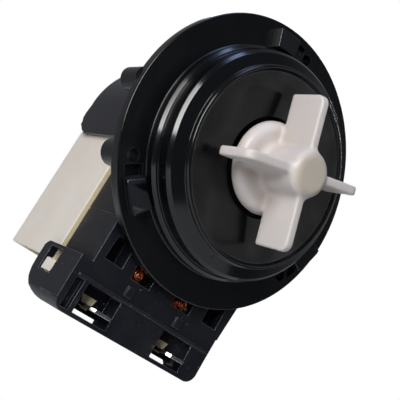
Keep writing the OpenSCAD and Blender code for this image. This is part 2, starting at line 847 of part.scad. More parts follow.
module pole_outline() {
    difference() {
        union() {
            intersection() {
                circle(pole_r);
                translate([pole_gap / 2, bobbin_top + slip_gap])
                    square([pole_r, pole_r - bobbin_top]);
            }
            translate([leg_x - leg_w / 2, yoke_top]) square([leg_w, bobbin_top - yoke_top + leg_w / 2]);
        }
        circle(pole_bore_r);
    }
}

module pole_core() {
    carried_along(stator_mid - stack_t / 2, stator_mid + stack_t / 2) pole_outline();
}

module pole_core_left() {
    color("#7d8086") mirror([1, 0, 0]) pole_core();
}

module pole_core_right() {
    color("#7d8086") pole_core();
}

module core_yoke() {
    half = leg_x + leg_w / 2;
    color("#7d8086") block([-half, yoke_bottom, stator_mid - stack_t / 2],
        [half, yoke_top, stator_mid + stack_t / 2]);
}

// Coils

module coil_section(grow) {
    half_x = leg_w / 2 + seat_gap;
    half_z = stack_t / 2 + seat_gap;
    translate([leg_x, stator_mid])
        soft_rectangle(2 * (half_x + grow), 2 * (half_z + grow), max(grow, least_round));
}

module leg_hole() {
    translate([leg_x, stator_mid]) square([leg_w + 2 * seat_gap, stack_t + 2 * seat_gap], center = true);
}

module coil_bobbin() {
    window_top = bobbin_top - bobbin_flange_t;
    carried_down(window_top + bite, window_len + 2 * bite) difference() {
        coil_section(bobbin_wall);
        leg_hole();
    }
    for (top = [bobbin_top, window_top - window_len])
        carried_down(top, bobbin_flange_t) difference() {
            coil_section(coil_build + flange_margin);
            leg_hole();
        }
    // Pin that the wire is tied to, on a foot below the lower flange
    block([pin_x - pin_d, pin_y - pin_d, bobbin_front - pin_d],
        [pin_x + pin_d, bobbin_bottom + bite, bobbin_front]);
    translate([pin_x, pin_y, bobbin_front - bite]) cylinder(d = pin_d, h = pin_out + bite);
}

module coil_bobbin_left() {
    color("#d9d4c6") mirror([1, 0, 0]) coil_bobbin();
}

module coil_bobbin_right() {
    color("#d9d4c6") coil_bobbin();
}

module coil_pack() {
    carried_down(bobbin_top - bobbin_flange_t - seat_gap, window_len - 2 * seat_gap) difference() {
        coil_section(bobbin_wall + pack_t);
        coil_section(bobbin_wall + seat_gap);
    }
}

module coil_pack_left() {
    color("#a4562a") mirror([1, 0, 0]) coil_pack();
}

module coil_pack_right() {
    color("#a4562a") coil_pack();
}

// Outer layer of a winding: one wire, laid in loops down the bobbin, 24 rings a loop
wire_r = wire_d / 2;
wire_sides = 6;
corner_rings = 6;
loop_rings = 4 * corner_rings;
wire_grow = bobbin_wall + pack_t + seat_gap + wire_r;
wire_half_x = leg_w / 2 + seat_gap + wire_grow;
wire_half_z = stack_t / 2 + seat_gap + wire_grow;
wire_first_y = bobbin_top - bobbin_flange_t - 2 * seat_gap - wire_r;
wire_pitch = (window_len - 4 * seat_gap - wire_d) / loops;

// Angle at which the wire heads at one ring of a loop
function wire_heading(ring) =
    90 * floor(ring / corner_rings) + 90 * (ring % corner_rings) / (corner_rings - 1);

// Middle of the wire at one ring, as x, y, z
function wire_point(ring) =
    let (
        place = ring % loop_rings,
        corner = floor(place / corner_rings),
        angle = wire_heading(place),
        side_x = (corner == 0 || corner == 3) ? 1 : -1,
        side_z = (corner < 2) ? 1 : -1
    )
    [
        leg_x + side_x * (wire_half_x - wire_grow) + wire_grow * cos(angle),
        wire_first_y - wire_pitch * ring / loop_rings,
        stator_mid + side_z * (wire_half_z - wire_grow) + wire_grow * sin(angle)
    ];

// The wire starts and ends on straight runs along the right side
wire_count = loops * loop_rings;
wire_start = [leg_x + wire_half_x, wire_first_y, stator_mid];
wire_finish = [leg_x + wire_half_x, wire_first_y - wire_pitch * loops, stator_mid];
wire_path = concat([wire_start], [for (ring = [0:wire_count - 1]) wire_point(ring)], [wire_finish]);
wire_angles = concat([0], [for (ring = [0:wire_count - 1]) wire_heading(ring % loop_rings)], [360]);

// Least gap of the wire to itself: rings of one loop against those of the next
wire_least_gap = min([
    for (first = [0:wire_count - loop_rings - 1], shift = [-2:2])
        if (first + loop_rings + shift < wire_count)
            norm(wire_point(first) - wire_point(first + loop_rings + shift)) - wire_d
]);
echo(wire_least_gap = wire_least_gap);

module coil_winding() {
    rings = len(wire_path);
    points = [
        for (place = [0:rings - 1], side = [0:wire_sides - 1])
            let (
                heading = wire_angles[place],
                around = 360 * side / wire_sides,
                outward = [cos(heading), 0, sin(heading)]
            )
            wire_path[place] + wire_r * (cos(around) * outward + sin(around) * [0, 1, 0])
    ];
    skin = [
        for (place = [0:rings - 2], side = [0:wire_sides - 1])
            let (
                here = place * wire_sides + side,
                beside = place * wire_sides + (side + 1) % wire_sides
            )
            each [
                [here, beside, here + wire_sides],
                [beside, beside + wire_sides, here + wire_sides]
            ]
    ];
    last = (rings - 1) * wire_sides;
    caps = [
        for (side = [1:wire_sides - 2])
            each [[0, side + 1, side], [last, last + side, last + side + 1]]
    ];
    polyhedron(points = points, faces = concat(skin, caps), convexity = 10);
}

module coil_winding_left() {
    color("#c8713a") mirror([1, 0, 0]) coil_winding();
}

module coil_winding_right() {
    color("#c8713a") coil_winding();
}

// Two leads from the bobbins down to the terminals' tails, the link between the coils, and the wire
// wrapped round the bobbins' pins
module coil_leads() {
    link_y = bobbin_bottom - lead_d / 2 - seat_gap;
    link_half = leg_x - leg_w / 2;
    wrap_back = bobbin_front + slip_gap;
    color("#c8713a") {
        for (side = [-1, 1])
            translate([side * pin_x, pin_y, 0])
                ring(pin_d / 2 + seat_gap, wrap_r, wrap_back, wrap_back + wrap_len);
        for (x = [-left_tab_x, right_tab_x])
            translate([x, tab_y + tab_t / 2, lead_z]) rotate([-90, 0, 0])
                cylinder(d = lead_d, h = bobbin_bottom - tab_y - tab_t / 2 - seat_gap);
        translate([-link_half, link_y, lead_z]) rotate([0, 90, 0]) cylinder(d = lead_d, h = 2 * link_half);
    }
}

// Terminal carrier

module lower_block_outline(left, right, bottom, top, radius) {
    // Upright shape with round bottom corners
    translate([left, bottom + radius]) square([right - left, top - bottom - radius]);
    translate([left + radius, bottom]) square([right - left - 2 * radius, top - bottom]);
    for (x = [left + radius, right - radius])
        translate([x, bottom + radius]) circle(radius);
}

module lower_block_side() {
    // Side view of the lower block with round rear corners
    depth = -strap_rear;
    translate([0, block_bottom]) square([depth - block_rear_corner, block_top - block_bottom]);
    translate([0, block_bottom + block_rear_corner])
        square([depth, block_top - strap_corner - block_bottom - block_rear_corner]);
    translate([0, block_bottom + block_rear_corner])
        square([depth - strap_corner, block_top - block_bottom - block_rear_corner]);
    translate([depth - block_rear_corner, block_bottom + block_rear_corner]) circle(block_rear_corner);
    translate([depth - strap_corner, block_top - strap_corner]) circle(strap_corner);
}

module lower_block() {
    // The front right corner stands back from the strap
    intersection() {
        union() {
            carried_along(strap_rear, setback_back)
                lower_block_outline(-strap_x, strap_x, block_bottom, block_top, block_corner);
            carried_along(setback_back - bite, carrier_front)
                lower_block_outline(-strap_x, right_x, block_bottom, block_top, block_corner);
        }
        carried_across(-strap_x - over, strap_x + over) lower_block_side();
    }
}

module block_hollow() {
    // Room behind the front plate, open at the back and, behind the roof, to the cover
    rear = strap_rear - over;
    corner_back = setback_back - strap_t;
    block([-strap_in_x, block_floor, rear], [strap_in_x, block_top - roof_t, corner_back]);
    block([-strap_in_x, block_floor, corner_back - bite],
        [right_x - strap_t, block_top - roof_t, front_back]);
    block([-strap_in_x, block_floor, rear], [strap_in_x, block_top + over, carrier_back]);
    block([-carrier_in_x, block_floor, carrier_back - over], [carrier_in_x, block_top + over, front_back]);
}

module upper_body() {
    // Front plate and two side walls, open at the top and the back; the right wall leans out
    difference() {
        carried_along(carrier_back, carrier_front) polygon([
            [left_side_x, block_top - bite],
            [strap_in_x, block_top - bite],
            [right_side_x, seam_y],
            [right_side_x, carrier_top],
            [left_side_x, carrier_top]
        ]);
        block([-carrier_in_x, block_top - over, carrier_back - over],
            [carrier_in_x, carrier_top + over, front_back]);
    }
}

module socket_cup(middle, height) {
    // Walls round one socket, behind the front plate
    half = socket_w / 2 + socket_wall;
    block([middle - half, block_floor - bite, socket_back - socket_wall],
        [middle + half, block_floor + height, front_back + bite]);
}

module socket_cut(middle) {
    half = socket_w / 2;
    slit_right = middle + half;
    block([middle - half, block_floor, socket_back], [middle + half, socket_top, carrier_front + over]);
    // Drain slit at the bottom of the rear wall
    block([slit_right - slit_w, block_floor, socket_back - socket_wall - over],
        [slit_right, block_floor + slit_h, socket_back + over]);
    // Slot that grips the terminal's tail
    block([middle - tail_w / 2 - seat_gap, tab_y - tab_t / 2 - seat_gap, socket_back - socket_wall - over],
        [middle + tail_w / 2 + seat_gap, tab_y + tab_t / 2 + seat_gap, socket_back + over]);
}

module blind_window(middle, cut) {
    // Dark blind pocket in the front plate: its cup, or its cut
    half = blind_w / 2;
    around = half + blind_wall;
    low = block_top + notch_rise;
    high = low + blind_h;
    cup_back = bobbin_front + slip_gap;
    if (cut)
        block([middle - half, low, cup_back + blind_wall], [middle + half, high, carrier_front + over]);
    else
        block([middle - around, low - blind_wall, cup_back],
            [middle + around, high + blind_wall, front_back + bite]);
}

module clip_windows() {
    // Openings in the side straps for the cover's snap hooks
    for (side = [0, 1]) mirror([side, 0, 0])
        block([strap_in_x - bite, hook_bottom - slip_gap, hook_back - slip_gap],
            [strap_x + over, block_top - roof_t, hook_front + window_play]);
}

module seams() {
    // Shallow seam along the outside of both upper walls
    for (face = [left_side_x, right_side_x])
        block([face - seam_depth, seam_y - seam_w / 2, carrier_back - over],
            [face + seam_depth, seam_y + seam_w / 2, front_back]);
}

module front_ribs() {
    // Bead above the sockets and small ribs below the notches
    bead_low = socket_top + bead_rise;
    rib_low = socket_top + rib_rise;
    block([-strap_in_x, bead_low, carrier_front - bite],
        [right_x - rib_h, bead_low + bead_w, carrier_front + rib_h]);
    for (side = [-1, 1])
        block([side * (notch_x + rib_shift) - rib_w / 2, rib_low, carrier_front - bite],
            [side * (notch_x + rib_shift) + rib_w / 2, rib_low + rib_len, carrier_front + rib_h]);
}

module terminal_carrier() {
    blind_left = left_side_x + blind_edge + blind_w / 2;
    blind_right = strap_in_x - blind_edge - blind_w / 2;
    notch_low = block_top + notch_rise - notch_drop;
    color("#202226") difference() {
        union() {
            difference() {
                lower_block();
                block_hollow();
            }
            upper_body();
            for (middle = [-left_tab_x, right_tab_x])
                socket_cup(middle, socket_h + socket_wall);
            for (middle = [blind_left, blind_right])
                blind_window(middle, false);
            front_ribs();
        }
        for (middle = [-left_tab_x, right_tab_x])
            socket_cut(middle);
        for (middle = [blind_left, blind_right])
            blind_window(middle, true);
        for (side = [-1, 1])
            block([side * notch_x - notch_w / 2, notch_low, front_back - over],
                [side * notch_x + notch_w / 2, notch_low + notch_h, carrier_front + over]);
        clip_windows();
        seams();
        // Blind groove between the left strap and the left socket
        block([-strap_in_x, block_floor, front_back + groove_floor_t],
            [-left_tab_x - socket_w / 2 - socket_wall, socket_top, carrier_front + over]);
    }
}

// Spade terminals

module spade_terminal() {
    tip = carrier_front + tab_reach;
    shoulder = socket_back + seat_gap;
    chamfer = tab_w / 6;
    carried_down(tab_t / 2, tab_t) difference() {
        polygon([
            [-tab_w / 2, shoulder],
            [tab_w / 2, shoulder],
            [tab_w / 2, tip - chamfer],
            [tab_w / 2 - chamfer, tip],
            [chamfer - tab_w / 2, tip],
            [-tab_w / 2, tip - chamfer]
        ]);
        translate([0, tip - tab_w / 2]) circle(d = detent_d);
    }
    block([-tail_w / 2, -tab_t / 2, tab_tail], [tail_w / 2, tab_t / 2, shoulder + bite]);
}

module spade_terminal_left() {
    color("#cfd2d4") translate([-left_tab_x, tab_y, 0]) spade_terminal();
}

module spade_terminal_right() {
    color("#cfd2d4") translate([right_tab_x, tab_y, 0]) spade_terminal();
}

// Coil cover

module cover_outline(half, back, radius) {
    // Flat U with round rear bends, seen from above
    translate([-half, back + radius]) square([2 * half, cover_front - back - radius]);
    translate([radius - half, back]) square([2 * (half - radius), cover_front - back]);
    for (side = [-1, 1])
        translate([side * (half - radius), back + radius]) circle(radius);
}

module coil_cover() {
    bend_in = max(cover_bend_r - cover_t, least_round);
    tongue_top = cover_bottom + bite;
    color("#dcd6cd") {
        carried_down(cover_top, cover_top - cover_bottom) difference() {
            cover_outline(cover_x, cover_rear, cover_bend_r);
            cover_outline(cover_in_x, cover_rear + cover_t, bend_in);
            translate([-cover_in_x, cover_front - over]) square([2 * cover_in_x, 2 * over]);
        }
        // Snap tongues and their hooks
        for (side = [0, 1]) mirror([side, 0, 0]) {
            block([cover_in_x, hook_bottom, cover_front - hook_len], [cover_x, tongue_top, hook_front]);
            block([cover_x - bite, hook_bottom, hook_back], [strap_x - hook_sink, tongue_top, hook_front]);
        }
    }
}

// Motor hood

module hood_outline(radius, skirt) {
    circle(radius);
    translate([-radius, -skirt]) square([2 * radius, skirt]);
}

module hood_side() {
    // Side view with a round lower rear corner
    depth = -hood_rear;
    translate([0, -hood_skirt]) square([depth - hood_corner, hood_skirt + hood_r + over]);
    translate([0, hood_corner - hood_skirt]) square([depth, hood_skirt + hood_r + over - hood_corner]);
    translate([depth - hood_corner, hood_corner - hood_skirt]) circle(hood_corner);
}

module motor_hood() {
    hood_front = flange_back - hood_gap;
    color("#1f2125") intersection() {
        difference() {
            carried_along(hood_rear, hood_front) intersection() {
                hood_outline(hood_r, hood_skirt);
                translate([-hood_r - over, -hood_skirt])
                    square([2 * (hood_r + over), hood_skirt + hood_r + over]);
            }
            carried_along(hood_rear + hood_wall, hood_front + over)
                hood_outline(hood_in_r, hood_skirt + over);
            // Rear wall: hole for the bearing knob, and cut away where the cover passes
            translate([0, 0, hood_rear - over]) cylinder(r = knob_r + slip_gap, h = hood_wall + 2 * over);
            block([-hood_in_r, -hood_skirt - over, hood_rear - over],
                [hood_in_r, cover_top + slip_gap, hood_rear + hood_wall + over]);
        }
        carried_across(-hood_r - over, hood_r + over) hood_side();
    }
}

stand() pump_flange();
stand() bearing_plate();
stand() plate_seal_ring();
stand() shaft_lip_seal();
stand() front_bearing();
stand() front_grommet();
stand() rear_bearing();
stand() rear_grommet();
stand() rotor_shaft();
stand() magnet_carrier();
stand() rotor_magnet();
stand() front_thrust_washer();
stand() rear_thrust_washer();
stand() drive_dog();
stand() impeller();
stand() coupling_retainer();
stand() stop_buffers();
stand() pole_core_left();
stand() pole_core_right();
stand() core_yoke();
stand() coil_bobbin_left();
stand() coil_bobbin_right();
stand() coil_pack_left();
stand() coil_pack_right();
stand() coil_winding_left();
stand() coil_winding_right();
stand() coil_leads();
stand() terminal_carrier();
stand() spade_terminal_left();
stand() spade_terminal_right();
stand() coil_cover();
stand() motor_hood();
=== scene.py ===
"""Washer drain pump: looks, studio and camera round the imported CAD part.

The flange and the impeller are remade with their soft moulded corners, the other mouldings get rounded
edges, the coils are wound as wire, the cores are stacked from sheets and the bobbins get their feet.
Every piece and every CAD node gets a procedural material.
Sizes in the classes are in millimetres; meshes are made in metres, in the frame of the CAD part.
"""

import json
import logging
import math
from dataclasses import dataclass, field
from enum import Enum

import bmesh
import bpy
import numpy as np
from mathutils import Matrix, Vector

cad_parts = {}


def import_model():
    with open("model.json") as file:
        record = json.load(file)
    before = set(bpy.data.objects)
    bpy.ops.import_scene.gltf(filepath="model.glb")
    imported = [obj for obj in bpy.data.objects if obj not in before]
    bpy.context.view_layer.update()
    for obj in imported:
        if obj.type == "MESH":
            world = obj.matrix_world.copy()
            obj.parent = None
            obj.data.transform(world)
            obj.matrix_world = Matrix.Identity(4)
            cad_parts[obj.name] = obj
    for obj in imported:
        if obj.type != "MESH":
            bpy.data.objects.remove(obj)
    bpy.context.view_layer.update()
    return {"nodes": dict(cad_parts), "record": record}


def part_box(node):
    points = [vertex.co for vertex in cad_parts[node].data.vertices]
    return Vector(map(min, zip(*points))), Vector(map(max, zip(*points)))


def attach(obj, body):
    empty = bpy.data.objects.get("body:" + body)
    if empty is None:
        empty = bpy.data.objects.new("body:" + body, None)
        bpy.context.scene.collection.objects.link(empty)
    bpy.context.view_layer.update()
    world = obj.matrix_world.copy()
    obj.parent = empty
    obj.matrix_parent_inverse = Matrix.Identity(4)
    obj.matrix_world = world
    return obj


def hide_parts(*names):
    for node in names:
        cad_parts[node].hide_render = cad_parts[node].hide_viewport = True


MM = 0.001

log = logging.getLogger("drain_pump")

Colour = tuple[float, float, float, float]
Pair = tuple[float, float]
Triple = tuple[float, float, float]
Tree = bpy.types.NodeTree
Inputs = bpy.types.NodeInputs
Socket = bpy.types.NodeSocket

# Values between which nearly all of a noise pattern lies
NOISE_SPAN = {"From Min": 0.3, "From Max": 0.7}
# Points closer than this, in millimetres, are one point
SAME_POINT = 0.002
# Faces that turn by less than this, in degrees, are one face
FLAT_ANGLE = 0.2
# Edges that turn by more than this, in degrees, are drawn sharp
CREASE_ANGLE = 30.0
# Match of the flat and the rounded normal, from beside an edge to the edge itself
EDGE_SPAN = {"From Min": 0.99, "From Max": 0.8}
# Rays that look for edges, and for corners
EDGE_SAMPLES = 6
CORNER_SAMPLES = 8
# Flat strips across a rounding, and the profile that makes it an arc
ROUND_STRIPS = 3
ROUND_PROFILE = 0.5
# Sockets of a Mix node: its two colours and the mixed colour, and its two numbers
TONE_A = 6
TONE_B = 7
TONE = 2
NUMBER_A = 2
NUMBER_B = 3
# Middles of the left and the right spade terminal, in millimetres
SPADE_X = (-13.8, 10.8)


class Body(Enum):
    """Rigid bodies that the remade pieces ride on."""

    MOTOR = "motor"
    IMPELLER = "impeller"


class Slot(Enum):
    """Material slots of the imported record."""

    GLOSS_BLACK = "black_gloss_plastic"
    SATIN_BLACK = "black_satin_plastic"
    RUBBER = "black_rubber"
    BRONZE = "bearing_bronze"
    SHAFT = "shaft_steel"
    FERRITE = "ferrite"
    MILKY = "milky_plastic"
    CORE = "core_steel"
    CREAM = "cream_plastic"
    COPPER = "copper_wire"
    TINNED = "tinned_brass"


class Cut(Enum):
    """Ways to combine two solids."""

    JOIN = "UNION"
    TAKE_AWAY = "DIFFERENCE"


def linear(code: str) -> Colour:
    """Turns an sRGB hex code into linear light.

    Args:
        code: Six hex digits with a leading hash.

    Returns:
        Red, green, blue and an alpha of one.
    """
    parts = [int(code[i : i + 2], 16) / 255 for i in (1, 3, 5)]
    light = [p / 12.92 if p <= 0.04045 else ((p + 0.055) / 1.055) ** 2.4 for p in parts]
    return light[0], light[1], light[2], 1.0


def per_spot(size: float) -> float:
    """Pattern scale whose spots are about size millimetres wide."""
    return 1 / (size * MM)


def add_node(tree: Tree, kind: str, inputs: dict | None = None, **settings: object) -> bpy.types.Node:
    """Adds a shader node with its settings, values and links.

    Args:
        tree: Node tree that takes the node.
        kind: Blender's name of the node class.
        inputs: Socket name or number to a value, or to an output socket that is linked to it.
        **settings: Properties of the node.

    Returns:
        The new node.
    """
    node = tree.nodes.new(kind)
    for key, value in settings.items():
        setattr(node, key, value)
    for key, value in (inputs or {}).items():
        if isinstance(value, Socket):
            tree.links.new(value, node.inputs[key])
        else:
            node.inputs[key].default_value = value
    return node


def link_surface(tree: Tree, surface: Inputs, sources: dict[str, Socket]) -> None:
    """Links outputs of nodes to sockets of the shader.

    Args:
        tree: Node tree of the material.
        surface: Sockets of its Principled shader.
        sources: Name of each socket, with the output that it takes.
    """
    for name, source in sources.items():
        tree.links.new(source, surface[name])


@dataclass(frozen=True)
class Finish:
    """A real material, built as one node tree round a Principled shader."""

    name: str
    colour: str

    def build(self) -> bpy.types.Material:
        """Makes the material, named for what it really is.

        Returns:
            The new material.
        """
        material = bpy.data.materials.new(self.name)
        material.use_nodes = True
        tree = material.node_tree
        place = add_node(tree, "ShaderNodeTexCoord").outputs["Object"]
        self.dress(tree, tree.nodes["Principled BSDF"].inputs, place)
        return material

    def dress(self, tree: Tree, surface: Inputs, place: Socket) -> None:
        """Sets the shader's sockets; each finish has its own.

        Args:
            tree: Node tree of the material.
            surface: Sockets of its Principled shader.
            place: Coordinates on the piece, in metres.
        """
        raise NotImplementedError

    @staticmethod
    def worn_edges(tree: Tree, width: float) -> Socket:
        """Mask that is 1 along edges.

        Args:
            tree: Node tree of the material.
            width: Width of the mask in millimetres.

        Returns:
            The mask's output socket.
        """
        flat = add_node(tree, "ShaderNodeNewGeometry").outputs["Normal"]
        reach = {"Radius": width * MM}
        turned = add_node(tree, "ShaderNodeBevel", reach, samples=EDGE_SAMPLES).outputs["Normal"]
        match = add_node(tree, "ShaderNodeVectorMath", {0: flat, 1: turned}, operation="DOT_PRODUCT")
        spread = {"Value": match.outputs["Value"], **EDGE_SPAN}
        return add_node(tree, "ShaderNodeMapRange", spread).outputs["Result"]


# Polypropylene, moulded in a polished steel mould: deep black with a soft sheen that is
# cloudy where the melt flowed, and paler where its edges were handled
@dataclass(frozen=True)
class PolishedPolypropylene(Finish):
    """Black polypropylene from a polished mould."""

    worn: str = "#3a3f48"
    # Bluer black behind the flange, a painted sheen
    hood: str = "#0a0b18"
    hood_from: float = 6.0
    hood_to: float = 14.0
    rough_low: float = 0.2
    rough_high: float = 0.3
    gloss: float = 0.14
    gloss_r: float = 26.0
    gloss_half: float = 3.3
    gloss_y: float = 2.6
    dish_r: float = 22.5
    clean: float = 0.5
    filmed: float = 0.28
    flow_size: float = 9.0
    scuff_size: float = 2.5
    # Colour of the painted light on the pads' faces
    pad_light: str = "#1d1e22"
    pad_light_r: float = 29.6
    pad_light_y: float = 1.9
    grain_size: float = 0.5
    grain_depth: float = 0.006
    grain_strength: float = 0.25
    edge_width: float = 0.3
    ior: float = 1.49

    def dress(self, tree: Tree, surface: Inputs, place: Socket) -> None:
        """Links clouded roughness, a faint orange peel and worn edges to the shader.

        Args:
            tree: Node tree of the material.
            surface: Sockets of its Principled shader.
            place: Coordinates on the piece, in metres.
        """
        cloud = {"Vector": place, "Scale": per_spot(self.flow_size), "Detail": 3.0}
        flow = add_node(tree, "ShaderNodeTexNoise", cloud).outputs["Fac"]
        spread = {"Value": flow, **NOISE_SPAN, "To Min": self.rough_low, "To Max": self.rough_high}
        satin = add_node(tree, "ShaderNodeMapRange", spread).outputs["Result"]
        handled = {"Vector": place, "Scale": per_spot(self.scuff_size), "Detail": 4.0}
        scuffs = add_node(tree, "ShaderNodeTexNoise", handled).outputs["Fac"]
        rim = self.worn_edges(tree, self.edge_width)
        share = add_node(tree, "ShaderNodeMath", {0: rim, 1: scuffs}, operation="MULTIPLY").outputs[0]
        along = add_node(tree, "ShaderNodeSeparateXYZ", {0: place}).outputs["Y"]
        # The black of the hood, behind the flange, is a little bluer: a painted bluish sheen
        reach = {"Value": along, "From Min": self.hood_from * MM, "From Max": self.hood_to * MM}
        behind = add_node(tree, "ShaderNodeMapRange", reach).outputs["Result"]
        sheen_blacks = {"Factor": behind, TONE_A: linear(self.colour), TONE_B: linear(self.hood)}
        black = add_node(tree, "ShaderNodeMix", sheen_blacks, data_type="RGBA").outputs[TONE]
        tones = {"Factor": share, TONE_A: black, TONE_B: linear(self.worn)}
        body = add_node(tree, "ShaderNodeMix", tones, data_type="RGBA").outputs[TONE]
        # The bayonet pads' faces are painted paler: painted light on their raised faces
        across = {0: place, 1: (1, 0, 1)}
        flat = add_node(tree, "ShaderNodeVectorMath", across, operation="MULTIPLY").outputs[0]
        away = add_node(tree, "ShaderNodeVectorMath", {0: flat}, operation="LENGTH").outputs["Value"]
        wide = {0: away, 1: self.pad_light_r * MM}
        outer = add_node(tree, "ShaderNodeMath", wide, operation="GREATER_THAN").outputs[0]
        raised = {0: along, 1: self.pad_light_y * MM}
        proud = add_node(tree, "ShaderNodeMath", raised, operation="LESS_THAN").outputs[0]
        pads = add_node(tree, "ShaderNodeMath", {0: outer, 1: proud}, operation="MULTIPLY").outputs[0]
        pad_lit_tones = {"Factor": pads, TONE_A: body, TONE_B: linear(self.pad_light)}
        colour = add_node(tree, "ShaderNodeMix", pad_lit_tones, data_type="RGBA").outputs[TONE]
        # Only the spigot and the crown round it are polished, where the housing's seal slides
        ring = {0: away, 1: self.gloss_r * MM, 2: self.gloss_half * MM}
        near = add_node(tree, "ShaderNodeMath", ring, operation="COMPARE").outputs[0]
        ahead = {0: along, 1: self.gloss_y * MM}
        front = add_node(tree, "ShaderNodeMath", ahead, operation="LESS_THAN").outputs[0]
        sealed = add_node(tree, "ShaderNodeMath", {0: near, 1: front}, operation="MULTIPLY").outputs[0]
        # A film of lime in the dish takes part of its shine
        within = {0: away, 1: self.dish_r * MM}
        inner = add_node(tree, "ShaderNodeMath", within, operation="LESS_THAN").outputs[0]
        dish = add_node(tree, "ShaderNodeMath", {0: inner, 1: front}, operation="MULTIPLY").outputs[0]
        levels = {"Factor": dish, NUMBER_A: self.clean, NUMBER_B: self.filmed}
        shine = add_node(tree, "ShaderNodeMix", levels).outputs[0]
        tree.links.new(shine, surface["Specular IOR Level"])
        skins = {"Factor": sealed, NUMBER_A: satin, NUMBER_B: self.gloss}
        rough = add_node(tree, "ShaderNodeMix", skins).outputs[0]
        # The real peel is about 0.2 mm wide and would not show, so it is drawn coarser
        peel = {"Vector": place, "Scale": per_spot(self.grain_size), "Detail": 2.0}
        fine = add_node(tree, "ShaderNodeTexNoise", peel).outputs["Fac"]
        lift = {"Height": fine, "Distance": self.grain_depth * MM, "Strength": self.grain_strength}
        bump = add_node(tree, "ShaderNodeBump", lift).outputs["Normal"]
        link_surface(tree, surface, {"Base Color": colour, "Roughness": rough, "Normal": bump})
        surface["IOR"].default_value = self.ior


# Glass-filled polyamide, moulded in a spark-eroded mould: a duller black than the flange,
# finely grained, with a few pale specks of dust caught in the grain
@dataclass(frozen=True)
class TexturedPolyamide(Finish):
    """Black polyamide from a textured mould."""

    worn: str = "#767b85"
    dust: str = "#565960"
    rough_low: float = 0.36
    rough_high: float = 0.52
    flow_size: float = 7.0
    scuff_size: float = 1.5
    dust_size: float = 0.9
    dust_from: float = 0.7
    dust_full: float = 0.82
    grain_size: float = 0.35
    grain_depth: float = 0.02
    grain_strength: float = 0.3
    edge_width: float = 0.3
    edge_round: float = 0.22
    burnished: float = 0.18
    recess_reach: float = 5.0
    recess_span: Pair = (0.3, 0.8)
    recess_shine: Pair = (0.1, 0.5)
    ior: float = 1.53

    def dress(self, tree: Tree, surface: Inputs, place: Socket) -> None:
        """Links grain, clouded roughness, worn edges and dust to the shader.

        Args:
            tree: Node tree of the material.
            surface: Sockets of its Principled shader.
            place: Coordinates on the piece, in metres.
        """
        cloud = {"Vector": place, "Scale": per_spot(self.flow_size), "Detail": 3.0}
        flow = add_node(tree, "ShaderNodeTexNoise", cloud).outputs["Fac"]
        spread = {"Value": flow, **NOISE_SPAN, "To Min": self.rough_low, "To Max": self.rough_high}
        grained = add_node(tree, "ShaderNodeMapRange", spread).outputs["Result"]
        handled = {"Vector": place, "Scale": per_spot(self.scuff_size), "Detail": 4.0}
        scuffs = add_node(tree, "ShaderNodeTexNoise", handled).outputs["Fac"]
        rim = self.worn_edges(tree, self.edge_width)
        share = add_node(tree, "ShaderNodeMath", {0: rim, 1: scuffs}, operation="MULTIPLY").outputs[0]
        tones = {"Factor": share, TONE_A: linear(self.colour), TONE_B: linear(self.worn)}
        body = add_node(tree, "ShaderNodeMix", tones, data_type="RGBA").outputs[TONE]
        # Edges are burnished by handling and shine
        polished = {"Factor": rim, NUMBER_A: grained, NUMBER_B: self.burnished}
        rough = add_node(tree, "ShaderNodeMix", polished).outputs[0]
        caught = {"Vector": place, "Scale": per_spot(self.dust_size), "Detail": 1.0}
        lint = add_node(tree, "ShaderNodeTexNoise", caught).outputs["Fac"]
        sparse = {"Value": lint, "From Min": self.dust_from, "From Max": self.dust_full}
        specks = add_node(tree, "ShaderNodeMapRange", sparse).outputs["Result"]
        dusted = {"Factor": specks, TONE_A: body, TONE_B: linear(self.dust)}
        colour = add_node(tree, "ShaderNodeMix", dusted, data_type="RGBA").outputs[TONE]
        # A spark-eroded grain is about 0.1 mm wide and would not show, so it is drawn coarser
        eroded = {"Vector": place, "Scale": per_spot(self.grain_size), "Detail": 2.0}
        fine = add_node(tree, "ShaderNodeTexNoise", eroded).outputs["Fac"]
        turned = {"Radius": self.edge_round * MM}
        soft = add_node(tree, "ShaderNodeBevel", turned, samples=EDGE_SAMPLES).outputs["Normal"]
        etched = {"Distance": self.grain_depth * MM, "Strength": self.grain_strength}
        lift = {"Height": fine, "Normal": soft, **etched}
        bump = add_node(tree, "ShaderNodeBump", lift).outputs["Normal"]
        # Deep recesses hardly shine: an occlusion mask lowers their reflection, painted shade
        near = {"Distance": self.recess_reach * MM}
        occlusion_shade = add_node(tree, "ShaderNodeAmbientOcclusion", near, samples=CORNER_SAMPLES).outputs["AO"]
        deep, shallow = self.recess_span
        dull, clean = self.recess_shine
        recess_shade = {"Value": occlusion_shade, "From Min": deep, "From Max": shallow, "To Min": dull, "To Max": clean}
        shine = add_node(tree, "ShaderNodeMapRange", recess_shade).outputs["Result"]
        tree.links.new(shine, surface["Specular IOR Level"])
        link_surface(tree, surface, {"Base Color": colour, "Roughness": rough, "Normal": bump})
        surface["IOR"].default_value = self.ior
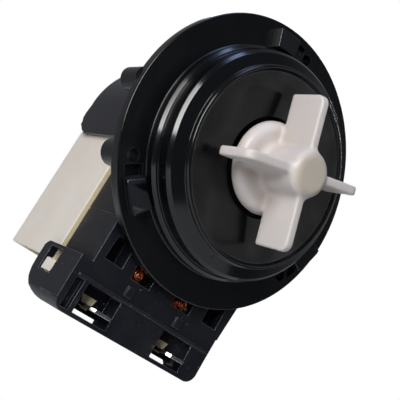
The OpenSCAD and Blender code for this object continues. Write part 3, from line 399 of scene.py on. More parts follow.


# Acetal, moulded without filler: milky, letting light in under its satin skin; painted shade makes it
# warm brown in its corners and beige on the end of the hub
@dataclass(frozen=True)
class MouldedAcetal(Finish):
    """Milky acetal."""

    # Colour of the painted shade in the corners
    deep: str = "#b9a592"
    # Colour of the painted shade on the hub's front end
    hub_end_shade: str = "#bfb5a7"
    hub_end_shade_from: float = -18.8
    hub_end_shade_to: float = -19.8
    rough_low: float = 0.32
    rough_high: float = 0.46
    cloud_size: float = 7.0
    skin_size: float = 0.5
    skin_depth: float = 0.01
    skin_strength: float = 0.15
    corner_shade_reach: float = 5.0
    glow: float = 0.9
    glow_share: float = 0.25
    glow_radii: Triple = (1.0, 0.8, 0.6)
    ior: float = 1.48

    def dress(self, tree: Tree, surface: Inputs, place: Socket) -> None:
        """Links painted shade in the corners and on the hub's end, satin roughness and light under the skin.

        Args:
            tree: Node tree of the material.
            surface: Sockets of its Principled shader.
            place: Coordinates on the piece, in metres.
        """
        cloud = {"Vector": place, "Scale": per_spot(self.cloud_size), "Detail": 3.0}
        drift = add_node(tree, "ShaderNodeTexNoise", cloud).outputs["Fac"]
        spread = {"Value": drift, **NOISE_SPAN, "To Min": self.rough_low, "To Max": self.rough_high}
        rough = add_node(tree, "ShaderNodeMapRange", spread).outputs["Result"]
        # Painted shade: the colour darkens to warm brown where an occlusion mask finds corners
        near = {"Distance": self.corner_shade_reach * MM}
        occlusion_shade = add_node(tree, "ShaderNodeAmbientOcclusion", near, samples=CORNER_SAMPLES).outputs["AO"]
        tones = {"Factor": occlusion_shade, TONE_A: linear(self.deep), TONE_B: linear(self.colour)}
        body = add_node(tree, "ShaderNodeMix", tones, data_type="RGBA").outputs[TONE]
        # Painted shade: the hub's front end is tinted beige
        along = add_node(tree, "ShaderNodeSeparateXYZ", {0: place}).outputs["Y"]
        ends = {"Value": along, "From Min": self.hub_end_shade_from * MM, "From Max": self.hub_end_shade_to * MM}
        front = add_node(tree, "ShaderNodeMapRange", ends).outputs["Result"]
        hub_end_shaded = {"Factor": front, TONE_A: body, TONE_B: linear(self.hub_end_shade)}
        colour = add_node(tree, "ShaderNodeMix", hub_end_shaded, data_type="RGBA").outputs[TONE]
        skin = {"Vector": place, "Scale": per_spot(self.skin_size), "Detail": 2.0}
        fine = add_node(tree, "ShaderNodeTexNoise", skin).outputs["Fac"]
        lift = {"Height": fine, "Distance": self.skin_depth * MM, "Strength": self.skin_strength}
        bump = add_node(tree, "ShaderNodeBump", lift).outputs["Normal"]
        link_surface(tree, surface, {"Base Color": colour, "Roughness": rough, "Normal": bump})
        surface["IOR"].default_value = self.ior
        surface["Subsurface Weight"].default_value = self.glow_share
        surface["Subsurface Radius"].default_value = self.glow_radii
        surface["Subsurface Scale"].default_value = self.glow * MM


# PBT, moulded white and aged: satin, warm white with faint yellowing, painted shade that makes its faces
# turned to the front cream, and grubby along its edges
@dataclass(frozen=True)
class MouldedPBT(Finish):
    """Warm white polyester (PBT)."""

    aged: str = "#d2c6b5"
    # Colour of the painted shade on faces turned to the front
    front: str = "#d6c7a6"
    grime: str = "#8f8778"
    rough_low: float = 0.42
    rough_high: float = 0.56
    aged_share: float = 0.45
    front_shade_from: float = -0.6
    front_shade_full: float = -0.95
    patch_size: float = 11.0
    speck_size: float = 1.6
    peel_size: float = 0.8
    peel_depth: float = 0.02
    peel_strength: float = 0.2
    edge_width: float = 0.3
    ior: float = 1.55

    def dress(self, tree: Tree, surface: Inputs, place: Socket) -> None:
        """Links patchy colour, painted shade on the faces turned to the front, grubby edges and a faint
        orange peel.

        Args:
            tree: Node tree of the material.
            surface: Sockets of its Principled shader.
            place: Coordinates on the piece, in metres.
        """
        cloud = {"Vector": place, "Scale": per_spot(self.patch_size), "Detail": 4.0}
        patch = add_node(tree, "ShaderNodeTexNoise", cloud).outputs["Fac"]
        faint = {"Value": patch, **NOISE_SPAN, "To Max": self.aged_share}
        yellow = add_node(tree, "ShaderNodeMapRange", faint).outputs["Result"]
        tones = {"Factor": yellow, TONE_A: linear(self.colour), TONE_B: linear(self.aged)}
        body = add_node(tree, "ShaderNodeMix", tones, data_type="RGBA").outputs[TONE]
        # Painted shade: faces turned to the front are tinted cream
        facing = add_node(tree, "ShaderNodeTexCoord").outputs["Normal"]
        forward = add_node(tree, "ShaderNodeSeparateXYZ", {0: facing}).outputs["Y"]
        ahead = {"Value": forward, "From Min": self.front_shade_from, "From Max": self.front_shade_full}
        front_shade_share = add_node(tree, "ShaderNodeMapRange", ahead).outputs["Result"]
        front_shade_tones = {"Factor": front_shade_share, TONE_A: body, TONE_B: linear(self.front)}
        front_shaded = add_node(tree, "ShaderNodeMix", front_shade_tones, data_type="RGBA").outputs[TONE]
        dirt = {"Vector": place, "Scale": per_spot(self.speck_size), "Detail": 5.0}
        specks = add_node(tree, "ShaderNodeTexNoise", dirt).outputs["Fac"]
        rim = self.worn_edges(tree, self.edge_width)
        share = add_node(tree, "ShaderNodeMath", {0: rim, 1: specks}, operation="MULTIPLY").outputs[0]
        soiled = {"Factor": share, TONE_A: front_shaded, TONE_B: linear(self.grime)}
        colour = add_node(tree, "ShaderNodeMix", soiled, data_type="RGBA").outputs[TONE]
        satin = {"Value": patch, **NOISE_SPAN, "To Min": self.rough_low, "To Max": self.rough_high}
        rough = add_node(tree, "ShaderNodeMapRange", satin).outputs["Result"]
        skin = {"Vector": place, "Scale": per_spot(self.peel_size), "Detail": 2.0}
        peel = add_node(tree, "ShaderNodeTexNoise", skin).outputs["Fac"]
        lift = {"Height": peel, "Distance": self.peel_depth * MM, "Strength": self.peel_strength}
        bump = add_node(tree, "ShaderNodeBump", lift).outputs["Normal"]
        link_surface(tree, surface, {"Base Color": colour, "Roughness": rough, "Normal": bump})
        surface["IOR"].default_value = self.ior


# Nitrile rubber, moulded and cured: dull black with a patchy grey bloom
@dataclass(frozen=True)
class MouldedNitrile(Finish):
    """Black nitrile rubber."""

    bloom: str = "#3b3b3a"
    bloom_share: float = 0.6
    rough_low: float = 0.62
    rough_high: float = 0.85
    bloom_size: float = 2.0
    skin_size: float = 0.25
    skin_depth: float = 0.02
    skin_strength: float = 0.4
    ior: float = 1.52

    def dress(self, tree: Tree, surface: Inputs, place: Socket) -> None:
        """Links bloom, dull roughness and a fine skin.

        Args:
            tree: Node tree of the material.
            surface: Sockets of its Principled shader.
            place: Coordinates on the piece, in metres.
        """
        cloud = {"Vector": place, "Scale": per_spot(self.bloom_size), "Detail": 4.0}
        patch = add_node(tree, "ShaderNodeTexNoise", cloud).outputs["Fac"]
        bloomed = {"Value": patch, **NOISE_SPAN, "To Max": self.bloom_share}
        share = add_node(tree, "ShaderNodeMapRange", bloomed).outputs["Result"]
        tones = {"Factor": share, TONE_A: linear(self.colour), TONE_B: linear(self.bloom)}
        colour = add_node(tree, "ShaderNodeMix", tones, data_type="RGBA").outputs[TONE]
        dull = {"Value": patch, **NOISE_SPAN, "To Min": self.rough_low, "To Max": self.rough_high}
        rough = add_node(tree, "ShaderNodeMapRange", dull).outputs["Result"]
        skin = {"Vector": place, "Scale": per_spot(self.skin_size), "Detail": 2.0}
        fine = add_node(tree, "ShaderNodeTexNoise", skin).outputs["Fac"]
        lift = {"Height": fine, "Distance": self.skin_depth * MM, "Strength": self.skin_strength}
        bump = add_node(tree, "ShaderNodeBump", lift).outputs["Normal"]
        link_surface(tree, surface, {"Base Color": colour, "Roughness": rough, "Normal": bump})
        surface["IOR"].default_value = self.ior


# Bare metals: sintered bronze is pitted all over, ground stainless steel is streaked round the
# shaft, stamped silicon steel is drawn along the sheet, and tinned brass is bright with soft streaks
@dataclass(frozen=True)
class BareMetal(Finish):
    """A metal whose colour drifts between two tones, with tool marks along one axis."""

    second: str
    rough_low: float
    rough_high: float
    mark_stretch: Triple
    mark_size: float
    mark_depth: float
    drift_size: float = 3.0
    mark_strength: float = 0.3

    def dress(self, tree: Tree, surface: Inputs, place: Socket) -> None:
        """Links drifting colour, uneven roughness and tool marks to a full metal.

        Args:
            tree: Node tree of the material.
            surface: Sockets of its Principled shader.
            place: Coordinates on the piece, in metres.
        """
        cloud = {"Vector": place, "Scale": per_spot(self.drift_size), "Detail": 3.0}
        drift = add_node(tree, "ShaderNodeTexNoise", cloud).outputs["Fac"]
        toned = {"Value": drift, **NOISE_SPAN}
        share = add_node(tree, "ShaderNodeMapRange", toned).outputs["Result"]
        tones = {"Factor": share, TONE_A: linear(self.colour), TONE_B: linear(self.second)}
        colour = add_node(tree, "ShaderNodeMix", tones, data_type="RGBA").outputs[TONE]
        stretched = {"Vector": place, "Scale": self.mark_stretch}
        drawn = add_node(tree, "ShaderNodeMapping", stretched).outputs[0]
        tooled = {"Vector": drawn, "Scale": per_spot(self.mark_size), "Detail": 3.0}
        marks = add_node(tree, "ShaderNodeTexNoise", tooled).outputs["Fac"]
        uneven = {"Value": marks, **NOISE_SPAN, "To Min": self.rough_low, "To Max": self.rough_high}
        rough = add_node(tree, "ShaderNodeMapRange", uneven).outputs["Result"]
        lift = {"Height": marks, "Distance": self.mark_depth * MM, "Strength": self.mark_strength}
        bump = add_node(tree, "ShaderNodeBump", lift).outputs["Normal"]
        link_surface(tree, surface, {"Base Color": colour, "Roughness": rough, "Normal": bump})
        surface["Metallic"].default_value = 1.0


# Magnet wire: drawn copper under a clear amber enamel, which makes it orange and glossy,
# darker where the enamel lies thick
@dataclass(frozen=True)
class EnamelledCopper(Finish):
    """Enamelled copper wire."""

    second: str = "#a04f22"
    enamel: str = "#ffd2a0"
    rough_low: float = 0.22
    rough_high: float = 0.4
    drift_size: float = 1.2
    skin_size: float = 0.2
    skin_depth: float = 0.01
    skin_strength: float = 0.2
    coat: float = 0.6
    coat_rough: float = 0.12

    def dress(self, tree: Tree, surface: Inputs, place: Socket) -> None:
        """Links uneven copper and a glossy clear coat.

        Args:
            tree: Node tree of the material.
            surface: Sockets of its Principled shader.
            place: Coordinates on the piece, in metres.
        """
        cloud = {"Vector": place, "Scale": per_spot(self.drift_size), "Detail": 3.0}
        drift = add_node(tree, "ShaderNodeTexNoise", cloud).outputs["Fac"]
        toned = {"Value": drift, **NOISE_SPAN}
        share = add_node(tree, "ShaderNodeMapRange", toned).outputs["Result"]
        tones = {"Factor": share, TONE_A: linear(self.colour), TONE_B: linear(self.second)}
        colour = add_node(tree, "ShaderNodeMix", tones, data_type="RGBA").outputs[TONE]
        uneven = {"Value": drift, **NOISE_SPAN, "To Min": self.rough_low, "To Max": self.rough_high}
        rough = add_node(tree, "ShaderNodeMapRange", uneven).outputs["Result"]
        skin = {"Vector": place, "Scale": per_spot(self.skin_size), "Detail": 2.0}
        fine = add_node(tree, "ShaderNodeTexNoise", skin).outputs["Fac"]
        lift = {"Height": fine, "Distance": self.skin_depth * MM, "Strength": self.skin_strength}
        bump = add_node(tree, "ShaderNodeBump", lift).outputs["Normal"]
        link_surface(tree, surface, {"Base Color": colour, "Roughness": rough, "Normal": bump})
        surface["Metallic"].default_value = 1.0
        surface["Coat Weight"].default_value = self.coat
        surface["Coat Roughness"].default_value = self.coat_rough
        surface["Coat Tint"].default_value = linear(self.enamel)


# Ferrite, sintered and ground: charcoal with pores and a dull sparkle
@dataclass(frozen=True)
class GroundFerrite(Finish):
    """Ground ferrite."""

    pores: str = "#1b1a19"
    pore_size: float = 0.6
    pore_depth: float = 0.02
    pore_strength: float = 0.3
    pore_span: Pair = (0.1, 0.6)
    rough_pore: float = 0.75
    rough_ground: float = 0.5

    def dress(self, tree: Tree, surface: Inputs, place: Socket) -> None:
        """Links pores and a dull, uneven grind.

        Args:
            tree: Node tree of the material.
            surface: Sockets of its Principled shader.
            place: Coordinates on the piece, in metres.
        """
        pitted = {"Vector": place, "Scale": per_spot(self.pore_size)}
        pits = add_node(tree, "ShaderNodeTexVoronoi", pitted).outputs["Distance"]
        span = {"From Min": self.pore_span[0], "From Max": self.pore_span[1]}
        toned = {"Value": pits, **span}
        share = add_node(tree, "ShaderNodeMapRange", toned).outputs["Result"]
        tones = {"Factor": share, TONE_A: linear(self.pores), TONE_B: linear(self.colour)}
        colour = add_node(tree, "ShaderNodeMix", tones, data_type="RGBA").outputs[TONE]
        dull = {"Value": pits, **span, "To Min": self.rough_pore, "To Max": self.rough_ground}
        rough = add_node(tree, "ShaderNodeMapRange", dull).outputs["Result"]
        lift = {"Height": pits, "Distance": self.pore_depth * MM, "Strength": self.pore_strength}
        bump = add_node(tree, "ShaderNodeBump", lift).outputs["Normal"]
        link_surface(tree, surface, {"Base Color": colour, "Roughness": rough, "Normal": bump})


def all_finishes() -> dict[Slot, bpy.types.Material]:
    """Builds every finish once.

    Returns:
        The material of each slot.
    """
    finishes = {
        Slot.GLOSS_BLACK: PolishedPolypropylene("polished_mould_polypropylene", "#08090b"),
        # The blue cast of the satin black is a painted sheen
        Slot.SATIN_BLACK: TexturedPolyamide("textured_mould_polyamide", "#0d0e16"),
        Slot.RUBBER: MouldedNitrile("moulded_nitrile_rubber", "#191919"),
        Slot.BRONZE: BareMetal(
            "sintered_bronze", "#a68a5f", second="#7c6442", rough_low=0.4, rough_high=0.6,
            mark_stretch=(1, 1, 1), mark_size=0.3, mark_depth=0.03, drift_size=1.0,
        ),
        Slot.SHAFT: BareMetal(
            "ground_stainless_steel", "#c9cbce", second="#b1b5ba", rough_low=0.12, rough_high=0.25,
            mark_stretch=(1, 14, 1), mark_size=0.6, mark_depth=0.006,
        ),
        Slot.FERRITE: GroundFerrite("ground_ferrite", "#3d3b39"),
        Slot.MILKY: MouldedAcetal("moulded_acetal", "#d0c9c5"),
        Slot.CORE: BareMetal(
            "stamped_silicon_steel", "#8d9096", second="#6f6f70", rough_low=0.35, rough_high=0.55,
            mark_stretch=(1, 30, 1), mark_size=8.0, mark_depth=0.02, drift_size=5.0,
        ),
        Slot.CREAM: MouldedPBT("moulded_white_pbt", "#e0d9d0"),
        Slot.COPPER: EnamelledCopper("enamelled_copper", "#e8854c"),
        Slot.TINNED: BareMetal(
            "tinned_brass", "#d4d5d4", second="#b9b6ad", rough_low=0.18, rough_high=0.38,
            mark_stretch=(12, 1, 1), mark_size=2.0, mark_depth=0.01,
        ),
    }
    return {slot: finish.build() for slot, finish in finishes.items()}


@dataclass
class Workshop:
    """The loaded part and its materials, shared by every sub-assembly."""

    nodes: dict[str, bpy.types.Object]
    slots: dict[str, str]
    materials: dict[Slot, bpy.types.Material]

    def add(self, name: str, mesh: bpy.types.Mesh, body: Body, slot: Slot) -> bpy.types.Object:
        """Puts a mesh in the scene as a dressed piece.

        Args:
            name: Name of the piece.
            mesh: Its mesh, in metres.
            body: Body that it rides on.
            slot: Material slot that it takes its finish from.

        Returns:
            The piece.
        """
        piece = bpy.data.objects.new(name, mesh)
        bpy.context.scene.collection.objects.link(piece)
        mesh.materials.clear()
        mesh.materials.append(self.materials[slot])
        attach(piece, body.value)
        return piece

    def place(self, name: str, mesh: bpy.types.Mesh, body: Body, node: str) -> bpy.types.Object:
        """Puts a mesh in the scene in place of a CAD node.

        Args:
            name: Name of the piece.
            mesh: Its mesh, in metres.
            body: Body that it rides on.
            node: CAD node that it stands for and takes its material slot from.

        Returns:
            The piece.
        """
        piece = self.add(name, mesh, body, Slot(self.slots[node]))
        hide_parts(node)
        return piece

    def dress_nodes(self) -> None:
        """Gives every CAD node the material of its slot."""
        for name, node in self.nodes.items():
            node.data.materials.clear()
            node.data.materials.append(self.materials[Slot(self.slots[name])])


def rounded_outline(corners: list[Triple], steps: int = 6) -> list[Pair]:
    """Rounds the corners of a closed outline.

    Args:
        corners: Two coordinates and a radius for each corner, in order.
        steps: Number of straight pieces on each arc.

    Returns:
        Points of the rounded outline.
    """
    points = []
    for i, (x, y, radius) in enumerate(corners):
        here = Vector((x, y))
        if radius == 0:
            points.append((x, y))
            continue
        before = (Vector(corners[i - 1][:2]) - here).normalized()
        after = (Vector(corners[(i + 1) % len(corners)][:2]) - here).normalized()
        half = before.angle(after) / 2
        middle = here + (before + after).normalized() * (radius / math.sin(half))
        start = here + before * (radius / math.tan(half)) - middle
        end = here + after * (radius / math.tan(half)) - middle
        first = math.atan2(start.y, start.x)
        sweep = (math.atan2(end.y, end.x) - first + math.pi) % (2 * math.pi) - math.pi
        for k in range(steps + 1):
            angle = first + sweep * k / steps
            points.append((middle.x + radius * math.cos(angle), middle.y + radius * math.sin(angle)))
    return points


def at_clock(radius: float, clock: float, y: float) -> Vector:
    """Point in metres at an angle in degrees from straight down, turning towards +X."""
    turned = math.radians(clock)
    return Vector((radius * math.sin(turned), y, -radius * math.cos(turned))) * MM


def add_loft(work: bmesh.types.BMesh, rings: list[list[Vector]]) -> list[bmesh.types.BMFace]:
    """Adds a closed solid through rings of equal count.

    Args:
        work: Mesh that takes the solid.
        rings: Rings of points in metres, from one end to the other.

    Returns:
        The last ring's cap, then the side faces.
    """
    rows = [[work.verts.new(spot) for spot in ring] for ring in rings]
    count = len(rows[0])
    sides = [
        work.faces.new((here[k], here[(k + 1) % count], after[(k + 1) % count], after[k]))
        for here, after in zip(rows, rows[1:])
        for k in range(count)
    ]
    work.faces.new(list(reversed(rows[0])))
    cap = work.faces.new(rows[-1])
    return [cap, *sides]


def add_tube(work: bmesh.types.BMesh, path: list[Vector], radius: float, sides: int = 10) -> None:
    """Adds a round wire along a path.

    Args:
        work: Mesh that takes the wire.
        path: Points in millimetres.
        radius: Radius of the wire in millimetres.
        sides: Number of sides of the wire.
    """
    rings = []
    first = (path[1] - path[0]).normalized()
    across = first.orthogonal().normalized()
    angles = [2 * math.pi * k / sides for k in range(sides)]
    for i, spot in enumerate(path):
        ahead = (path[min(i + 1, len(path) - 1)] - path[max(i - 1, 0)]).normalized()
        across = (across - ahead * across.dot(ahead)).normalized()
        upward = ahead.cross(across)
        rings.append([(spot + (across * math.cos(a) + upward * math.sin(a)) * radius) * MM for a in angles])
    add_loft(work, rings)


def finished_mesh(work: bmesh.types.BMesh, name: str) -> bpy.types.Mesh:
    """Turns a bmesh into a smooth mesh whose faces point outwards.

    Args:
        work: Solid, which is freed.
        name: Name of the mesh.

    Returns:
        The new mesh.
    """
    bmesh.ops.recalc_face_normals(work, faces=work.faces)
    mesh = bpy.data.meshes.new(name)
    work.to_mesh(mesh)
    work.free()
    mesh.shade_smooth()
    return mesh


def combined(base: bpy.types.Mesh, tool: bpy.types.Mesh, way: Cut) -> bpy.types.Mesh:
    """Joins a solid to another, or takes it away.

    Args:
        base: Solid that is changed.
        tool: Solid that is joined or taken away.
        way: Which of the two.

    Returns:
        A new mesh.
    """
    pair = [bpy.data.objects.new(mesh.name, mesh) for mesh in (base, tool)]
    for solid in pair:
        bpy.context.scene.collection.objects.link(solid)
    change = pair[0].modifiers.new("change", "BOOLEAN")
    change.operation = way.value
    change.solver = "EXACT"
    change.object = pair[1]
    graph = bpy.context.evaluated_depsgraph_get()
    result = bpy.data.meshes.new_from_object(pair[0].evaluated_get(graph))
    for solid in pair:
        bpy.data.objects.remove(solid)
    return result


@dataclass
class Flange:
    """The pump flange: rim, shoulder, spigot, sloped band, crown bead, dish, rotor can and bearing knob."""

    node: str = "pump_flange"
    steps: int = 192
    front: float = 2.8
    back: float = 5.5
    rim_r: float = 36.3
    rim_round: float = 0.4
    shoulder_r: float = 28.8
    spigot_r: float = 27.6
    spigot_front: float = -4.0
    chamfer: float = 0.75
    soft: float = 0.22
    root_fillet: float = 0.4
    band_r: float = 24.1
    band_front: float = -5.4
    crown_front: float = -6.6
    crown_in_r: float = 22.9
    mouth_r: float = 12.0
    dish_floor: float = -4.8
    hollow: Triple = (14.8, 21.7, -2.4)
    can_r: float = 12.4
    can_end: float = 43.9
    knob_r: float = 6.85
    knob_end: float = 55.0
    chamber: Pair = (11.0, 42.5)
    plate_back: float = 2.6
    pocket: Pair = (5.45, 53.6)
    turns: Triple = (0.0, 120.0, 240.0)
    pad_radii: Pair = (29.8, 34.3)
    pad_clock: float = -44.85
    pad_span: float = 13.5
    pad_top: float = 0.3
    pad_ramp: float = 1.2
    pad_round: float = 0.35
    recess_clock: float = -54.6
    recess_span: float = 5.0
    recess_floor: float = 4.0
    hole_r: float = 1.5
    hole_at: Pair = (32.3, -60.5)
    boss: Pair = (3.3, 11.6)
    ear: Triple = (2.7, 34.2, 11.5)
    ear_clock: float = 90.0
    grip: tuple[float, float, float, float] = (6.0, 8.0, 32.7, 10.4)
    grip_clock: float = 142.0
    mark: Triple = (0.55, 25.0, -4.0)
    mark_depth: float = 0.15
    overlap: float = 0.4
    round_sides: int = 40
    sector_steps: int = 8
    knob_round: float = 0.8
    can_round: float = 0.5
    wall_round: float = 0.3
    bead_foot: float = 0.25
    bead_flat: float = 0.001
    boss_round: float = 0.3
    ear_round: float = 0.4
    grip_round: float = 0.4
    sharp_angle: float = 38.0

    def build(self, shop: Workshop) -> list[bpy.types.Object]:
        """Makes the flange and hides its CAD node.

        Args:
            shop: Loaded part and materials.

        Returns:
            The new piece.
        """
        turned = self.lathe()
        whole = combined(turned, self.added(), Cut.JOIN)
        cut = combined(whole, self.taken(), Cut.TAKE_AWAY)
        cut.name = self.node + "_moulding"
        cut.shade_smooth()
        piece = shop.place(self.node + "_moulding", cut, Body.MOTOR, self.node)
        cut.set_sharp_from_angle(angle=math.radians(self.sharp_angle))
        even = piece.modifiers.new("even_shading", "WEIGHTED_NORMAL")
        even.keep_sharp = True
        return [piece]

    def section(self) -> list[Pair]:
        """Draws the turned profile, from the knob's end to its pocket.

        Returns:
            Radius and place along the axis of each point.
        """
        hollow_in, hollow_out, hollow_floor = self.hollow
        chamber_r, chamber_end = self.chamber
        pocket_r, pocket_end = self.pocket
        bead = (self.band_r - self.crown_in_r) / 2
        corners = [
            (0.0, self.knob_end, 0.0),
            (self.knob_r, self.knob_end, self.knob_round),
            (self.knob_r, self.can_end, self.wall_round),
            (self.can_r, self.can_end, self.can_round),
            (self.can_r, self.back, self.wall_round),
            (hollow_in, self.back, self.wall_round),
            (hollow_in, hollow_floor, self.wall_round),
            (hollow_out, hollow_floor, self.wall_round),
            (hollow_out, self.back, self.wall_round),
            (self.rim_r, self.back, self.rim_round),
            (self.rim_r, self.front, self.rim_round),
            (self.shoulder_r, self.front, self.root_fillet),
            (self.shoulder_r, self.chamfer, self.soft),
            (self.shoulder_r - self.chamfer, 0.0, self.soft),
            (self.spigot_r, 0.0, self.soft),
            (self.spigot_r, self.spigot_front + self.chamfer, self.soft),
            (self.spigot_r - self.chamfer, self.spigot_front, self.soft),
            (self.band_r, self.band_front, self.bead_foot),
            (self.band_r, self.crown_front, bead - self.bead_flat),
            (self.crown_in_r, self.crown_front, bead - self.bead_flat),
            (self.crown_in_r, self.crown_front + bead, self.bead_foot),
            (self.mouth_r, self.dish_floor, self.wall_round),
            (self.mouth_r, self.plate_back, 0.0),
            (chamber_r, self.plate_back, 0.0),
            (chamber_r, chamber_end, 0.0),
            (pocket_r, chamber_end, 0.0),
            (pocket_r, pocket_end, 0.0),
            (0.0, pocket_end, 0.0),
        ]
        return rounded_outline(corners)

    def lathe(self) -> bpy.types.Mesh:
        """Turns the profile about the axis.

        Returns:
            The turned solid.
        """
        work = bmesh.new()
        rows = []
        for radius, y in self.section():
            count = self.steps if radius > 0 else 1
            spots = [at_clock(radius, 360 * k / self.steps, y) for k in range(count)]
            rows.append([work.verts.new(spot) for spot in spots])
        for here, after in zip(rows, rows[1:]):
            for k in range(self.steps):
                n = k + 1
                first = [here[k % len(here)], here[n % len(here)]]
                ring = [*first, after[n % len(after)], after[k % len(after)]]
                work.faces.new(list(dict.fromkeys(ring)))
        return finished_mesh(work, "flange_turned")

    def round_bar(self, radius: float, away: float, clock: float, ends: Pair) -> list[list[Vector]]:
        """Rings of a round bar along the axis.

        Args:
            radius: Radius of the bar.
            away: Distance of its middle from the axis.
            clock: Angle of its middle.
            ends: Where it starts and ends along the axis.

        Returns:
            One ring at each end.
        """
        middle = at_clock(away, clock, 0.0)
        angles = [360 * k / self.round_sides for k in range(self.round_sides)]
        return [[middle + at_clock(radius, a, y) for a in angles] for y in ends]

    def sector(self, radii: Pair, clock: float, span: float, y: list[float]) -> list[Vector]:
        """Ring of points round a sector, with a place along the axis at its first and last angle.

        Args:
            radii: Inner and outer radius.
            clock: Angle of its middle.
            span: Angle that it covers.
            y: Place along the axis at its first and its last angle.

        Returns:
            The points, in metres.
        """
        shares = [k / self.sector_steps for k in range(self.sector_steps + 1)]
        there = [at_clock(radii[0], clock + span * (s - 0.5), y[0] + (y[1] - y[0]) * s) for s in shares]
        back = [at_clock(radii[1], clock + span * (s - 0.5), y[0] + (y[1] - y[0]) * s) for s in shares]
        return there + back[::-1]

    def added(self) -> bpy.types.Mesh:
        """Makes the pads in front of the rim and the bosses, ears and grips behind it.

        Returns:
            All of them, as one mesh.
        """
        work = bmesh.new()
        foot = self.front + self.overlap
        for turn in self.turns:
            clock = self.pad_clock + turn
            low = self.sector(self.pad_radii, clock, self.pad_span, [foot, foot])
            tops = [self.pad_top + self.pad_ramp, self.pad_top]
            high = self.sector(self.pad_radii, clock, self.pad_span, tops)
            top = add_loft(work, [low, high])[0]
            self.soften(work, list(top.edges), self.pad_round)
        root = self.back - self.overlap
        for turn in self.turns:
            ends = (root, self.boss[1])
            rings = self.round_bar(self.boss[0], self.hole_at[0], self.hole_at[1] + turn, ends)
            self.soften(work, list(add_loft(work, rings)[0].edges), self.boss_round)
        for side in (-1, 1):
            rings = self.round_bar(self.ear[0], self.ear[1], side * self.ear_clock, (root, self.ear[2]))
            self.soften(work, list(add_loft(work, rings)[0].edges), self.ear_round)
            tall, wide, away, end = self.grip
            box = [(away + tall / 2 * r, wide / 2 * t) for r, t in ((-1, -1), (1, -1), (1, 1), (-1, 1))]
            rings = [[self.beside(r, t, side * self.grip_clock, y) for r, t in box] for y in (root, end)]
            faces = add_loft(work, rings)
            edges = {edge for face in faces for edge in face.edges}
            foot_ring = {edge for edge in edges if all(v.co.y < self.back * MM for v in edge.verts)}
            self.soften(work, list(edges - foot_ring), self.grip_round)
        return finished_mesh(work, "flange_added")

    @staticmethod
    def beside(radius: float, aside: float, clock: float, y: float) -> Vector:
        """Point at a clock angle, moved aside along the rim."""
        return at_clock(radius, clock, y) + at_clock(aside, clock + 90, 0.0)

    @staticmethod
    def soften(work: bmesh.types.BMesh, edges: list[bmesh.types.BMEdge], width: float) -> None:
        """Rounds edges.

        Args:
            work: Mesh that has the edges.
            edges: Edges to round.
            width: Width of the rounding in millimetres.
        """
        bmesh.ops.bevel(
            work,
            geom=edges,
            offset=width * MM,
            segments=ROUND_STRIPS,
            profile=ROUND_PROFILE,
            affect="EDGES",
            clamp_overlap=True,
        )

    def taken(self) -> bpy.types.Mesh:
        """Makes the recesses and holes beside the pads, and the mould's mark on the sloped band.

        Returns:
            All of them, as one mesh.
        """
        work = bmesh.new()
        for turn in self.turns:
            clock = self.recess_clock + turn
            ends = (self.front - self.overlap, self.recess_floor)
            add_loft(work, [self.sector(self.pad_radii, clock, self.recess_span, [y, y]) for y in ends])
            ends = (self.front - self.overlap, self.boss[1] + self.overlap)
            add_loft(work, self.round_bar(self.hole_r, self.hole_at[0], self.hole_at[1] + turn, ends))
        add_loft(work, self.mould_mark())
        return finished_mesh(work, "flange_taken")

    def mould_mark(self) -> list[list[Vector]]:
        """Places a shallow round cut, square to the sloped band.

        Returns:
            A ring in front of the band and one at the cut's floor.
        """
        radius, away, clock = self.mark
        start = (self.spigot_r - self.chamfer, self.spigot_front)
        run, rise = self.band_r - start[0], self.band_front - start[1]
        middle = at_clock(away, clock, start[1] + rise * (away - start[0]) / run)
        along = at_clock(run, clock, rise).normalized()
        aside = at_clock(1.0, clock + 90, 0.0).normalized()
        outward = along.cross(aside)
        outward *= -math.copysign(1.0, outward.y)
        angles = [2 * math.pi * k / self.round_sides for k in range(self.round_sides)]
        ring = [(along * math.cos(a) + aside * math.sin(a)) * radius * MM for a in angles]
        ends = (radius, -self.mark_depth)
        return [[middle + outward * depth * MM + spot for spot in ring] for depth in ends]


